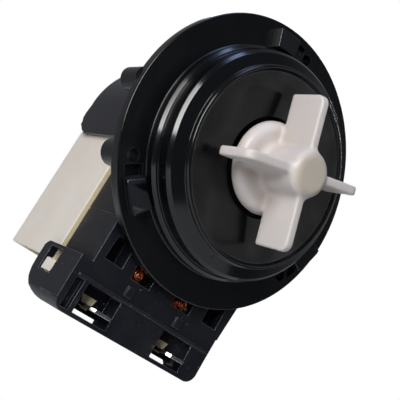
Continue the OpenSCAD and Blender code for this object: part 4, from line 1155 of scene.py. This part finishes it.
@dataclass
class Impeller:
    """Four flat blades round a hub on a small disc, moulded in one with soft corners.

    The form is a field of distances to its surface, so that the roots of hub and blades flow together;
    the field is then covered with a skin of small faces.
    Depth is measured along the axis away from the motor.
    """

    node: str = "impeller"
    disc_r: float = 11.2
    disc_depth: Pair = (5.1, 8.2)
    disc_round: float = 2.4
    hub_r: float = 5.4
    hub_front: float = 20.06
    hub_round: float = 2.0
    blade_depth: Pair = (8.2, 18.4)
    blade_tip: float = 18.0
    blade_t: float = 2.2
    blade_corner: float = 2.2
    blade_turns: Pair = (19.0, 109.0)
    blade_edge: float = 0.5
    hub_fillet: float = 2.2
    blade_fillet: float = 1.3
    pocket: Pair = (6.25, 6.75)
    coupling: Pair = (4.2, 15.7)
    bore: Pair = (2.05, 18.0)
    stop_r: float = 3.15
    stop_middle: float = 64.0
    stop_half: float = 30.0
    cell: float = 0.25
    even_share: float = 0.5
    even_rounds: int = 2

    def build(self, shop: Workshop) -> list[bpy.types.Object]:
        """Makes the impeller and hides its CAD node.

        Args:
            shop: Loaded part and materials.

        Returns:
            The new piece.
        """
        reach = self.blade_tip + 2 * self.cell
        low = np.array([-reach, self.disc_depth[0] - 2 * self.cell, -reach])
        high = np.array([reach, self.hub_front + 2 * self.cell, reach])
        axes = [np.arange(a, b + self.cell, self.cell) for a, b in zip(low, high)]
        x, depth, z = np.meshgrid(*axes, indexing="ij")
        mesh = self.skin(self.distance(x, depth, z), low)
        mesh.shade_smooth()
        piece = shop.place(self.node + "_moulding", mesh, Body.IMPELLER, self.node)
        even = piece.modifiers.new("even_skin", "SMOOTH")
        even.factor = self.even_share
        even.iterations = self.even_rounds
        return [piece]

    @staticmethod
    def box(across: np.ndarray, along: np.ndarray, half: Pair, corner: float | np.ndarray) -> np.ndarray:
        """Distance to a rectangle with round corners.

        Args:
            across: First coordinate from its middle.
            along: Second coordinate from its middle.
            half: Half its width and half its height.
            corner: Radius of its corners.

        Returns:
            Distances, negative inside.
        """
        first = np.abs(across) - half[0] + corner
        second = np.abs(along) - half[1] + corner
        outside = np.hypot(np.maximum(first, 0), np.maximum(second, 0))
        return np.minimum(np.maximum(first, second), 0) + outside - corner

    @staticmethod
    def flow(one: np.ndarray, other: np.ndarray, width: float) -> np.ndarray:
        """Joins two distance fields with a fillet about as wide as width."""
        near = np.maximum(width - np.abs(one - other), 0) / width
        return np.minimum(one, other) - near * near * width / 4

    def distance(self, x: np.ndarray, depth: np.ndarray, z: np.ndarray) -> np.ndarray:
        """Distance to the impeller's surface at every point of a grid.

        Args:
            x: Coordinate to the right.
            depth: Coordinate away from the motor.
            z: Coordinate upwards.

        Returns:
            Distances, negative inside.
        """
        away = np.hypot(x, z)
        disc_back, disc_front = self.disc_depth
        # The disc is drawn as deep as it is wide and cut off behind, so only its front corner is round
        deep = self.disc_r
        disc = self.box(away, depth - disc_front + deep, (self.disc_r, deep), self.disc_round)
        disc = np.maximum(disc, disc_back - depth)
        middle = (disc_back + self.hub_front) / 2
        hub = self.box(away, depth - middle, (self.hub_r, self.hub_front - middle), self.hub_round)
        whole = self.flow(disc, hub, self.hub_fillet)
        for turn in self.blade_turns:
            whole = self.flow(whole, self.bar(x, depth, z, math.radians(turn)), self.blade_fillet)
        return np.maximum(whole, -self.cavity(x, depth, z, away))

    def bar(self, x: np.ndarray, depth: np.ndarray, z: np.ndarray, turn: float) -> np.ndarray:
        """Distance to two opposite blades, as one bar through the axis.

        Args:
            x: Coordinate to the right.
            depth: Coordinate away from the motor.
            z: Coordinate upwards.
            turn: Angle of the bar in radians.

        Returns:
            Distances, negative inside.
        """
        along = x * math.cos(turn) + z * math.sin(turn)
        across = z * math.cos(turn) - x * math.sin(turn)
        back, front = self.blade_depth
        half = (front - back) / 2
        height = depth - (front + back) / 2
        corner = np.where(height > 0, self.blade_corner, self.blade_edge)
        side = self.box(along, height, (self.blade_tip, half), corner) + self.blade_edge
        face = np.abs(across) - self.blade_t / 2 + self.blade_edge
        outside = np.hypot(np.maximum(side, 0), np.maximum(face, 0))
        return np.minimum(np.maximum(side, face), 0) + outside - self.blade_edge

    def cavity(self, x: np.ndarray, depth: np.ndarray, z: np.ndarray, away: np.ndarray) -> np.ndarray:
        """Distance to the hollow for the coupling, its retainer and the shaft's nose.

        Args:
            x: Coordinate to the right.
            depth: Coordinate away from the motor.
            z: Coordinate upwards.
            away: Distance from the axis.

        Returns:
            Distances, negative inside.
        """
        hollow = np.maximum(away - self.pocket[0], depth - self.pocket[1])
        coupling = np.maximum(away - self.coupling[0], depth - self.coupling[1])
        middle = math.radians(self.stop_middle)
        aside = np.abs((np.arctan2(z, x) - middle + math.pi) % (2 * math.pi) - math.pi)
        stop = np.maximum(self.stop_r - away, away * np.sin(aside - math.radians(self.stop_half)))
        stop = np.where(aside > math.pi / 2, away, stop)
        coupling = np.maximum(coupling, -np.maximum(stop, self.pocket[1] - depth))
        bore = np.maximum(away - self.bore[0], depth - self.bore[1])
        return np.minimum(np.minimum(hollow, coupling), bore)

    def skin(self, distances: np.ndarray, low: np.ndarray) -> bpy.types.Mesh:
        """Covers the places where the distance is nought with faces.

        Args:
            distances: Distances on the grid.
            low: Coordinates of the grid's first point, in millimetres.

        Returns:
            The mesh, in metres and in the frame of the CAD part.
        """
        inside = distances < 0
        cells = tuple(n - 1 for n in distances.shape)
        total = np.zeros((*cells, 3))
        count = np.zeros(cells)
        # The point of a cell is the mean of the places where the surface crosses the cell's edges
        corners = [(i, j, k) for i in (0, 1) for j in (0, 1) for k in (0, 1)]
        for start in corners:
            for axis in (a for a in range(3) if not start[a]):
                end = tuple(1 if a == axis else start[a] for a in range(3))
                spans = [[slice(s, s + n) for s, n in zip(corner, cells)] for corner in (start, end)]
                one, two = (distances[tuple(span)] for span in spans)
                crossed = (one < 0) != (two < 0)
                share = np.where(crossed, one / np.where(crossed, one - two, 1), 0)
                for a in range(3):
                    total[..., a] += np.where(crossed, start[a], 0) + (share if a == axis else 0)
                count += crossed
        used = count > 0
        number = np.full(cells, -1)
        number[used] = np.arange(used.sum())
        spots = low + self.cell * (np.argwhere(used) + total[used] / count[used][:, None])
        points = spots * np.array([1, -1, 1]) * MM
        mesh = bpy.data.meshes.new(self.node + "_moulding")
        mesh.from_pydata(points.tolist(), [], self.quads(inside, number).tolist())
        return mesh

    @staticmethod
    def quads(inside: np.ndarray, number: np.ndarray) -> np.ndarray:
        """One face for each grid edge that passes through the surface.

        Args:
            inside: Which grid points lie inside.
            number: Number of the point in each cell.

        Returns:
            Four point numbers for each face.
        """
        found = []
        for axis in range(3):
            one, two = (axis + 1) % 3, (axis + 2) % 3
            before = np.moveaxis(inside, (axis, one, two), (0, 1, 2))[:-1, 1:-1, 1:-1]
            after = np.moveaxis(inside, (axis, one, two), (0, 1, 2))[1:, 1:-1, 1:-1]
            cell = np.moveaxis(number, (axis, one, two), (0, 1, 2))
            spots = np.argwhere(before != after)
            a, b, c = spots.T
            steps = ((0, 0), (1, 0), (1, 1), (0, 1))
            ring = np.stack([cell[a, b + p, c + q] for p, q in steps], axis=1)
            outward = before[a, b, c]
            # Depth runs against the frame's axis, so the faces turn the other way round
            ring[outward] = ring[outward][:, ::-1]
            found.append(ring)
        return np.concatenate(found)


@dataclass
class Moulding:
    """A CAD node remade with its sharp edges rounded."""

    node: str
    rounding: float = 0.25
    sharp_angle: float = 35.0
    thin_angle: float = 25.0
    tied_angle: float = 0.5
    weld: float = 0.05

    def build(self, shop: Workshop) -> list[bpy.types.Object]:
        """Makes the piece and hides the node that it stands for.

        Args:
            shop: Loaded part and materials.

        Returns:
            The rounded piece.
        """
        work = bmesh.new()
        work.from_mesh(shop.nodes[self.node].data)
        bmesh.ops.remove_doubles(work, verts=work.verts, dist=self.weld * MM)
        flat = math.radians(FLAT_ANGLE)
        bmesh.ops.dissolve_limit(work, angle_limit=flat, verts=work.verts, edges=work.edges)
        self.round_edges(work)
        bmesh.ops.remove_doubles(work, verts=work.verts, dist=SAME_POINT * MM)
        bmesh.ops.dissolve_degenerate(work, edges=work.edges, dist=SAME_POINT * MM)
        low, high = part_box(self.node)
        for vert in work.verts:
            vert.co = Vector(min(max(c, a), b) for c, a, b in zip(vert.co, low, high))
        mesh = finished_mesh(work, self.node + "_rounded")
        mesh.set_sharp_from_angle(angle=math.radians(self.sharp_angle))
        piece = shop.place(self.node + "_rounded", mesh, Body.MOTOR, self.node)
        even = piece.modifiers.new("even_shading", "WEIGHTED_NORMAL")
        even.keep_sharp = True
        return [piece]

    def round_edges(self, work: bmesh.types.BMesh) -> None:
        """Bevels the edges that turn by more than the sharp angle, apart from those at thin points.

        Args:
            work: Mesh of the node, in metres.
        """
        limit = math.radians(self.sharp_angle)
        sharp = [e for e in work.edges if len(e.link_faces) == 2 and e.calc_face_angle(0) > limit]
        marked = set(sharp)
        thin = {vert for edge in sharp for vert in edge.verts if self.is_thin(vert, marked)}
        sharp = [edge for edge in sharp if not thin.intersection(edge.verts)]
        bmesh.ops.bevel(
            work,
            geom=sharp,
            offset=self.rounding * MM,
            offset_type="OFFSET",
            segments=ROUND_STRIPS,
            profile=ROUND_PROFILE,
            affect="EDGES",
            clamp_overlap=False,
            loop_slide=True,
        )

    def is_thin(self, vert: bmesh.types.BMVert, marked: set[bmesh.types.BMEdge]) -> bool:
        """Tells whether a point is too thin to round, or is tied across a flat face to another outline.

        Args:
            vert: Point of the mesh.
            marked: Edges that are to be rounded.

        Returns:
            True if the edges at the point stay as they are.
        """
        tied = math.radians(self.tied_angle)
        if any(edge.calc_face_angle(1.0) < tied for edge in vert.link_edges):
            return True
        ways = [(e.other_vert(vert).co - vert.co).normalized() for e in vert.link_edges if e in marked]
        least = math.radians(self.thin_angle)
        return any(one.angle(two) < least for i, one in enumerate(ways) for two in ways[:i])


@dataclass
class SheetStack:
    """A stator core stacked from stamped sheets, with a fine groove between each two.

    Real sheets are 0.5 mm thick; they are drawn twice as thick, so that they show.
    """

    node: str
    sheets: int = 24
    groove: float = 0.16

    def build(self, shop: Workshop) -> list[bpy.types.Object]:
        """Stacks the sheets and hides the plain CAD core.

        Args:
            shop: Loaded part and materials.

        Returns:
            The stack.
        """
        outline = self.outline(shop.nodes[self.node].data)
        low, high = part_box(self.node)
        step = (high[1] - low[1]) / self.sheets
        slit = self.groove * MM
        rings = []
        for i in range(self.sheets):
            start = low[1] + i * step
            if i > 0:
                rings.append(self.ring(outline, start, slit))
            rings.append(self.ring(outline, start + (slit / 2 if i > 0 else 0), 0))
            rings.append(self.ring(outline, start + step - (slit / 2 if i < self.sheets - 1 else 0), 0))
        work = bmesh.new()
        add_loft(work, rings)
        mesh = finished_mesh(work, self.node + "_sheets")
        mesh.set_sharp_from_angle(angle=math.radians(CREASE_ANGLE))
        return [shop.place(self.node + "_sheets", mesh, Body.MOTOR, self.node)]

    @staticmethod
    def outline(mesh: bpy.types.Mesh) -> list[Vector]:
        """Finds the outline of the core's front face.

        Args:
            mesh: Mesh of the CAD core.

        Returns:
            Points of the outline, in metres.
        """
        work = bmesh.new()
        work.from_mesh(mesh)
        bmesh.ops.remove_doubles(work, verts=work.verts, dist=SAME_POINT * MM)
        flat = math.radians(FLAT_ANGLE)
        bmesh.ops.dissolve_limit(work, angle_limit=flat, verts=work.verts, edges=work.edges)
        work.normal_update()
        front = min(work.faces, key=lambda face: face.normal.y * face.calc_area())
        spots = [vert.co.copy() for vert in front.verts]
        work.free()
        return spots

    @staticmethod
    def ring(outline: list[Vector], y: float, inset: float) -> list[Vector]:
        """Puts the outline at a place along the axis, drawn in by an inset.

        Args:
            outline: Points of the outline.
            y: Place along the axis.
            inset: Distance that the outline is drawn in.

        Returns:
            The ring's points; all sizes are in metres.
        """
        spots = []
        for i, here in enumerate(outline):
            before = (here - outline[i - 1]).normalized()
            after = (outline[(i + 1) % len(outline)] - here).normalized()
            along = (before + after).normalized()
            inward = Vector((-along.z, 0, along.x)) if inset else Vector()
            spots.append(Vector((here.x, y, here.z)) - inward * inset)
        return spots


@dataclass
class CoilWinding:
    """The outer layer of one coil: a single wire laid in loops down its bobbin."""

    node: str
    side: int
    middle_x: float = 10.9
    middle_y: float = 27.75
    top: float = -15.45
    bottom: float = -34.25
    half_x: float = 4.05
    half_y: float = 12.05
    stand_off: float = 3.4
    wire: float = 0.9
    loops: int = 20
    steps: int = 64

    def build(self, shop: Workshop) -> list[bpy.types.Object]:
        """Sweeps the wire and hides the CAD winding that it stands for.

        Args:
            shop: Loaded part and materials.

        Returns:
            The wound wire.
        """
        path = [self.point(i) for i in range(self.loops * self.steps + 1)]
        work = bmesh.new()
        add_tube(work, path, self.wire / 2)
        mesh = finished_mesh(work, self.node + "_wire")
        return [shop.place(self.node + "_wire", mesh, Body.MOTOR, self.node)]

    def point(self, index: int) -> Vector:
        """Middle of the wire at one step.

        Args:
            index: Number of the step, from the top of the coil.

        Returns:
            The point, in millimetres.
        """
        share = index / (self.loops * self.steps)
        straight_x, straight_y = 2 * self.half_x, 2 * self.half_y
        arc = self.stand_off * math.pi / 2
        around = 2 * straight_x + 2 * straight_y + 4 * arc
        along = (index % self.steps) / self.steps * around
        x, y = self.outline(along, straight_x, straight_y, arc)
        height = self.top + (self.bottom - self.top) * share
        return Vector((self.side * (self.middle_x + x), self.middle_y + y, height))

    def outline(self, along: float, straight_x: float, straight_y: float, arc: float) -> Pair:
        """Point on the rounded rectangle that the wire follows.

        Args:
            along: Distance along it, from midway on its outer side.
            straight_x: Length of its straight short sides.
            straight_y: Length of its straight long sides.
            arc: Length of one corner.

        Returns:
            Offsets from the middle of the coil, in millimetres.
        """
        runs = [
            (straight_y, self.half_x + self.stand_off, -self.half_y, 0.0),
            (straight_x, self.half_x, self.half_y + self.stand_off, 90.0),
            (straight_y, -self.half_x - self.stand_off, self.half_y, 180.0),
            (straight_x, -self.half_x, -self.half_y - self.stand_off, 270.0),
        ]
        along = (along + straight_y / 2) % (2 * straight_x + 2 * straight_y + 4 * arc)
        for length, start_x, start_y, heading in runs:
            turned = math.radians(heading)
            step = (-math.sin(turned), math.cos(turned))
            out = (math.cos(turned), math.sin(turned))
            if along <= length:
                return start_x + step[0] * along, start_y + step[1] * along
            along -= length
            if along <= arc:
                bend = turned + along / self.stand_off
                corner_x = start_x + step[0] * length - out[0] * self.stand_off
                corner_y = start_y + step[1] * length - out[1] * self.stand_off
                return (
                    corner_x + math.cos(bend) * self.stand_off,
                    corner_y + math.sin(bend) * self.stand_off,
                )
            along -= arc
        # Only a rounding error at the very end of the loop comes this far
        return runs[0][1], runs[0][2]


@dataclass
class CoilLeads:
    """The ends of the coils: wire tied round each pin, a lead to each terminal and a link between."""

    node: str = "coil_leads"
    wire: float = 0.5
    pin_x: float = 7.8
    pin_z: float = -36.5
    layers: tuple[Triple, ...] = ((0.74, 11.2, 8.2), (1.15, 8.3, 11.1), (1.52, 10.9, 8.4))
    turn_steps: int = 20
    lap_steps: int = 3
    knot_sides: int = 8
    close_y: float = 6.9
    close_steps: int = 64
    straight_steps: int = 12
    lead: float = 0.9
    lead_y: float = 13.5
    lead_ends: Pair = (-36.05, -48.1)
    lead_x: Pair = SPADE_X
    link_half: float = 6.9

    def build(self, shop: Workshop) -> list[bpy.types.Object]:
        """Ties and lays the wires and hides the plain CAD leads.

        Args:
            shop: Loaded part and materials.

        Returns:
            The wires, as one piece.
        """
        work = bmesh.new()
        for side in (-1, 1):
            add_tube(work, self.knot(side), self.wire / 2, self.knot_sides)
        for x in self.lead_x:
            ends = [Vector((x, self.lead_y, z)) for z in self.lead_ends]
            add_tube(work, self.straight(*ends), self.lead / 2)
        ends = [Vector((side * self.link_half, self.lead_y, self.pin_z)) for side in (-1, 1)]
        add_tube(work, self.straight(*ends), self.lead / 2)
        mesh = finished_mesh(work, self.node + "_wire")
        return [shop.place(self.node + "_wire", mesh, Body.MOTOR, self.node)]

    def straight(self, start: Vector, end: Vector) -> list[Vector]:
        """Points along a straight wire."""
        return [start.lerp(end, k / self.straight_steps) for k in range(self.straight_steps + 1)]

    def around(self, side: int, radius: float, step: float, y: float) -> Vector:
        """Point round one pin, at a number of steps from its right.

        Args:
            side: Minus one for the left pin and one for the right.
            radius: Distance from the middle of the pin.
            step: Steps round the pin.
            y: Place along the axis.

        Returns:
            The point, in millimetres.
        """
        angle = 2 * math.pi * step / self.turn_steps
        aside = Vector((math.cos(angle) * radius, 0, math.sin(angle) * radius))
        return Vector((side * self.pin_x, y, self.pin_z)) + aside

    def knot(self, side: int) -> list[Vector]:
        """Ties the wire round one pin, in layers that end shorter and shorter, and closes it over the tip.

        Args:
            side: Minus one for the left pin and one for the right.

        Returns:
            Middle of the wire at each step, in millimetres.
        """
        path = []
        turned = 0
        for radius, start, end in self.layers:
            count = round(abs(end - start) / self.wire * self.turn_steps)
            for k in range(count + 1):
                path.append(self.around(side, radius, turned + k, start + (end - start) * k / count))
            turned += count + self.lap_steps
        last = self.layers[-1]
        for k in range(self.close_steps + 1):
            quarter = math.pi / 2 * k / self.close_steps
            y = last[2] + (self.close_y - last[2]) * math.sin(quarter)
            path.append(self.around(side, last[0] * math.cos(quarter), turned + k, y))
        return path


@dataclass
class BobbinFoot:
    """The cream foot of a bobbin round its spade, let into the back wall of the socket."""

    name: str
    middle_x: float
    foot_z: float = -49.4
    top_z: float = -46.2
    foot_half: float = 1.0
    top_half: float = 2.2
    front: float = 11.26
    back: float = 11.6

    def build(self, shop: Workshop) -> list[bpy.types.Object]:
        """Makes the foot.

        Args:
            shop: Loaded part and materials.

        Returns:
            The new piece.
        """
        work = bmesh.new()
        levels = ((self.foot_z, self.foot_half), (self.top_z, self.top_half))
        plan = ((-1, self.front), (1, self.front), (1, self.back), (-1, self.back))
        rings = []
        for z, half in levels:
            rings.append([Vector((self.middle_x + side * half, y, z)) * MM for side, y in plan])
        add_loft(work, rings)
        mesh = finished_mesh(work, self.name)
        mesh.set_sharp_from_angle(angle=math.radians(CREASE_ANGLE))
        return [shop.add(self.name, mesh, Body.MOTOR, Slot.CREAM)]


@dataclass
class CameraRig:
    """The camera at the place and angle of the photograph."""

    place: Triple = (-98.37, -125.68, -50.75)
    right: Triple = (0.6391, -0.5943, 0.4883)
    up: Triple = (-0.5212, 0.1322, 0.8431)
    lens: float = 62.04
    sensor: float = 36.0
    nearest: float = 10.0
    farthest: float = 20000.0

    def build(self) -> bpy.types.Object:
        """Adds the camera and makes it the scene's own.

        Returns:
            The camera.
        """
        data = bpy.data.cameras.new("photo_camera")
        data.lens = self.lens
        data.sensor_width = self.sensor
        data.clip_start = self.nearest * MM
        data.clip_end = self.farthest * MM
        camera = bpy.data.objects.new("photo_camera", data)
        right, up = Vector(self.right), Vector(self.up)
        back = right.cross(up)
        turn = Matrix((right, up, back)).transposed().to_4x4()
        camera.matrix_world = Matrix.Translation(Vector(self.place) * MM) @ turn
        bpy.context.scene.collection.objects.link(camera)
        bpy.context.scene.camera = camera
        return camera


@dataclass
class SoftBox:
    """One rectangular studio lamp that points at the pump."""

    name: str
    place: Triple
    size: Pair
    power: float
    colour: str = "#ffffff"
    target: Triple = (0.0, 10.0, -10.0)

    def build(self) -> bpy.types.Object:
        """Adds the lamp.

        Returns:
            The lamp.
        """
        data = bpy.data.lights.new(self.name, "AREA")
        data.shape = "RECTANGLE"
        data.size, data.size_y = self.size[0] * MM, self.size[1] * MM
        data.energy = self.power
        data.color = linear(self.colour)[:3]
        lamp = bpy.data.objects.new(self.name, data)
        spot = Vector(self.place) * MM
        aim = Vector(self.target) * MM - spot
        lamp.location = spot
        lamp.rotation_mode = "QUATERNION"
        lamp.rotation_quaternion = aim.to_track_quat("-Z", "Y")
        bpy.context.scene.collection.objects.link(lamp)
        return lamp


@dataclass
class Studio:
    """Pale floor, white surroundings behind the pump, a dim room in front of it, and soft lamps."""

    floor_height: float = -118.0
    floor_r: float = 190.0
    floor_sides: int = 96
    paint: tuple[str, str] = ("#f4f4f4", "#efefef")
    paint_drift: float = 60.0
    paint_rough: float = 0.8
    shadow_r: Pair = (60.0, 170.0)
    shadow_white: float = 0.6
    floor_mirrored: float = 0.1
    room: float = 0.1
    room_colour: str = "#d6dbe6"
    side_fade: float = 0.3
    behind_share: float = 0.2
    lamps: list[SoftBox] = field(
        default_factory=lambda: [
            SoftBox("main_lamp", (-332, -239, 84), (110, 300), 1.8),
            SoftBox("top_lamp", (-120, -130, 400), (150, 150), 0.38, "#b4ccff"),
            SoftBox("fill_lamp", (242, -327, 127), (70, 70), 0.024),
            SoftBox("rear_lamp", (230, 330, 160), (250, 250), 1.3),
        ]
    )

    def build(self) -> None:
        """Sets the floor, the lamps, the world and the view."""
        self.floor()
        for lamp in self.lamps:
            lamp.build()
        self.world()
        bpy.context.scene.view_settings.view_transform = "Standard"

    def floor(self) -> None:
        """Adds a plain round floor below the pump."""
        work = bmesh.new()
        angles = [2 * math.pi * i / self.floor_sides for i in range(self.floor_sides)]
        work.faces.new([work.verts.new(self.rim_spot(angle)) for angle in angles])
        mesh = bpy.data.meshes.new("floor")
        work.to_mesh(mesh)
        work.free()
        floor = bpy.data.objects.new("floor", mesh)
        bpy.context.scene.collection.objects.link(floor)
        mesh.materials.append(self.floor_paint())

    def rim_spot(self, angle: float) -> Vector:
        """Point on the floor's edge, in metres."""
        across = (math.cos(angle) * self.floor_r, math.sin(angle) * self.floor_r)
        return Vector((*across, self.floor_height)) * MM

    def floor_paint(self) -> bpy.types.Material:
        """Matt white paint that fades into the white background away from the pump.

        Returns:
            The floor's material.
        """
        material = bpy.data.materials.new("matt_white_paint")
        material.use_nodes = True
        tree = material.node_tree
        place = add_node(tree, "ShaderNodeTexCoord").outputs["Object"]
        cloud = {"Vector": place, "Scale": per_spot(self.paint_drift), "Detail": 2.0}
        drift = add_node(tree, "ShaderNodeTexNoise", cloud).outputs["Fac"]
        tones = {"Factor": drift, TONE_A: linear(self.paint[0]), TONE_B: linear(self.paint[1])}
        shade = add_node(tree, "ShaderNodeMix", tones, data_type="RGBA").outputs[TONE]
        surface = tree.nodes["Principled BSDF"]
        tree.links.new(shade, surface.inputs["Base Color"])
        surface.inputs["Roughness"].default_value = self.paint_rough
        level = {0: place, 1: (1, 1, 0)}
        flat = add_node(tree, "ShaderNodeVectorMath", level, operation="MULTIPLY").outputs[0]
        away = add_node(tree, "ShaderNodeVectorMath", {0: flat}, operation="LENGTH").outputs["Value"]
        near, far = self.shadow_r
        fade = {"Value": away, "From Min": near * MM, "From Max": far * MM, "To Min": self.shadow_white}
        white = add_node(tree, "ShaderNodeMapRange", fade).outputs["Result"]
        rays = add_node(tree, "ShaderNodeLightPath").outputs
        mirrored = {0: rays["Is Glossy Ray"], 1: self.floor_mirrored, 2: rays["Is Camera Ray"]}
        seen = add_node(tree, "ShaderNodeMath", mirrored, operation="MULTIPLY_ADD").outputs[0]
        share = add_node(tree, "ShaderNodeMath", {0: seen, 1: white}, operation="MULTIPLY").outputs[0]
        glow = add_node(tree, "ShaderNodeEmission", {"Strength": 1.0}).outputs[0]
        mixed = add_node(tree, "ShaderNodeMixShader", {0: share, 1: surface.outputs[0], 2: glow}).outputs[0]
        tree.links.new(mixed, tree.nodes["Material Output"].inputs["Surface"])
        return material

    def world(self) -> None:
        """White to the camera and behind the pump, dimmer everywhere else."""
        world = bpy.data.worlds.new("studio")
        world.use_nodes = True
        bpy.context.scene.world = world
        tree = world.node_tree
        tree.nodes.clear()
        rays = add_node(tree, "ShaderNodeLightPath").outputs
        toward = add_node(tree, "ShaderNodeTexCoord").outputs["Generated"]
        along = add_node(tree, "ShaderNodeSeparateXYZ", {0: toward}).outputs["Y"]
        sides = {"From Min": -self.side_fade, "From Max": self.side_fade}
        fade = {"Value": along, **sides, "To Max": self.behind_share}
        behind = add_node(tree, "ShaderNodeMapRange", fade).outputs["Result"]
        glossy = {0: rays["Is Glossy Ray"], 1: behind}
        mirrored = add_node(tree, "ShaderNodeMath", glossy, operation="MULTIPLY")
        clear = {0: rays["Is Camera Ray"], 1: rays["Is Transmission Ray"]}
        direct = add_node(tree, "ShaderNodeMath", clear, operation="ADD")
        share = {0: direct.outputs[0], 1: mirrored.outputs[0]}
        seen = add_node(tree, "ShaderNodeMath", share, operation="ADD", use_clamp=True).outputs[0]
        dim = {"Color": linear(self.room_colour), "Strength": self.room}
        room = add_node(tree, "ShaderNodeBackground", dim)
        white = add_node(tree, "ShaderNodeBackground", {"Color": linear("#ffffff"), "Strength": 1.0})
        mixed = add_node(tree, "ShaderNodeMixShader", {0: seen, 1: room.outputs[0], 2: white.outputs[0]})
        add_node(tree, "ShaderNodeOutputWorld", {"Surface": mixed.outputs[0]})


SubAssembly = Flange | Impeller | Moulding | SheetStack | CoilWinding | CoilLeads | BobbinFoot


@dataclass
class DrainPump:
    """The whole pump, made of its sub-assemblies."""

    parts: list[SubAssembly] = field(
        default_factory=lambda: [
            Flange(),
            Impeller(),
            Moulding("motor_hood", 0.5),
            Moulding("terminal_carrier", 0.18),
            Moulding("coil_cover", 0.3),
            Moulding("coil_bobbin_left", 0.2),
            Moulding("coil_bobbin_right", 0.2),
            Moulding("spade_terminal_left", 0.1),
            Moulding("spade_terminal_right", 0.1),
            SheetStack("pole_core_left"),
            SheetStack("pole_core_right"),
            SheetStack("core_yoke"),
            CoilWinding("coil_winding_left", -1),
            CoilWinding("coil_winding_right", 1),
            CoilLeads(),
            BobbinFoot("bobbin_foot_left", SPADE_X[0]),
            BobbinFoot("bobbin_foot_right", SPADE_X[1]),
        ]
    )

    def build(self, shop: Workshop) -> list[bpy.types.Object]:
        """Dresses the CAD nodes and makes every remade piece.

        Args:
            shop: Loaded part and materials.

        Returns:
            The pieces, in order.
        """
        shop.dress_nodes()
        return [piece for part in self.parts for piece in part.build(shop)]


def main() -> None:
    """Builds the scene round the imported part."""
    logging.basicConfig(level=logging.INFO)
    bpy.ops.wm.read_factory_settings(use_empty=True)
    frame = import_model()
    slots = {part["node"]: part["material_slot"] for part in frame["record"]["subparts"]}
    shop = Workshop(frame["nodes"], slots, all_finishes())
    for piece in DrainPump().build(shop):
        log.info("%s: %d faces", piece.name, len(piece.data.polygons))
    CameraRig().build()
    Studio().build()


if __name__ == "__main__":
    main()
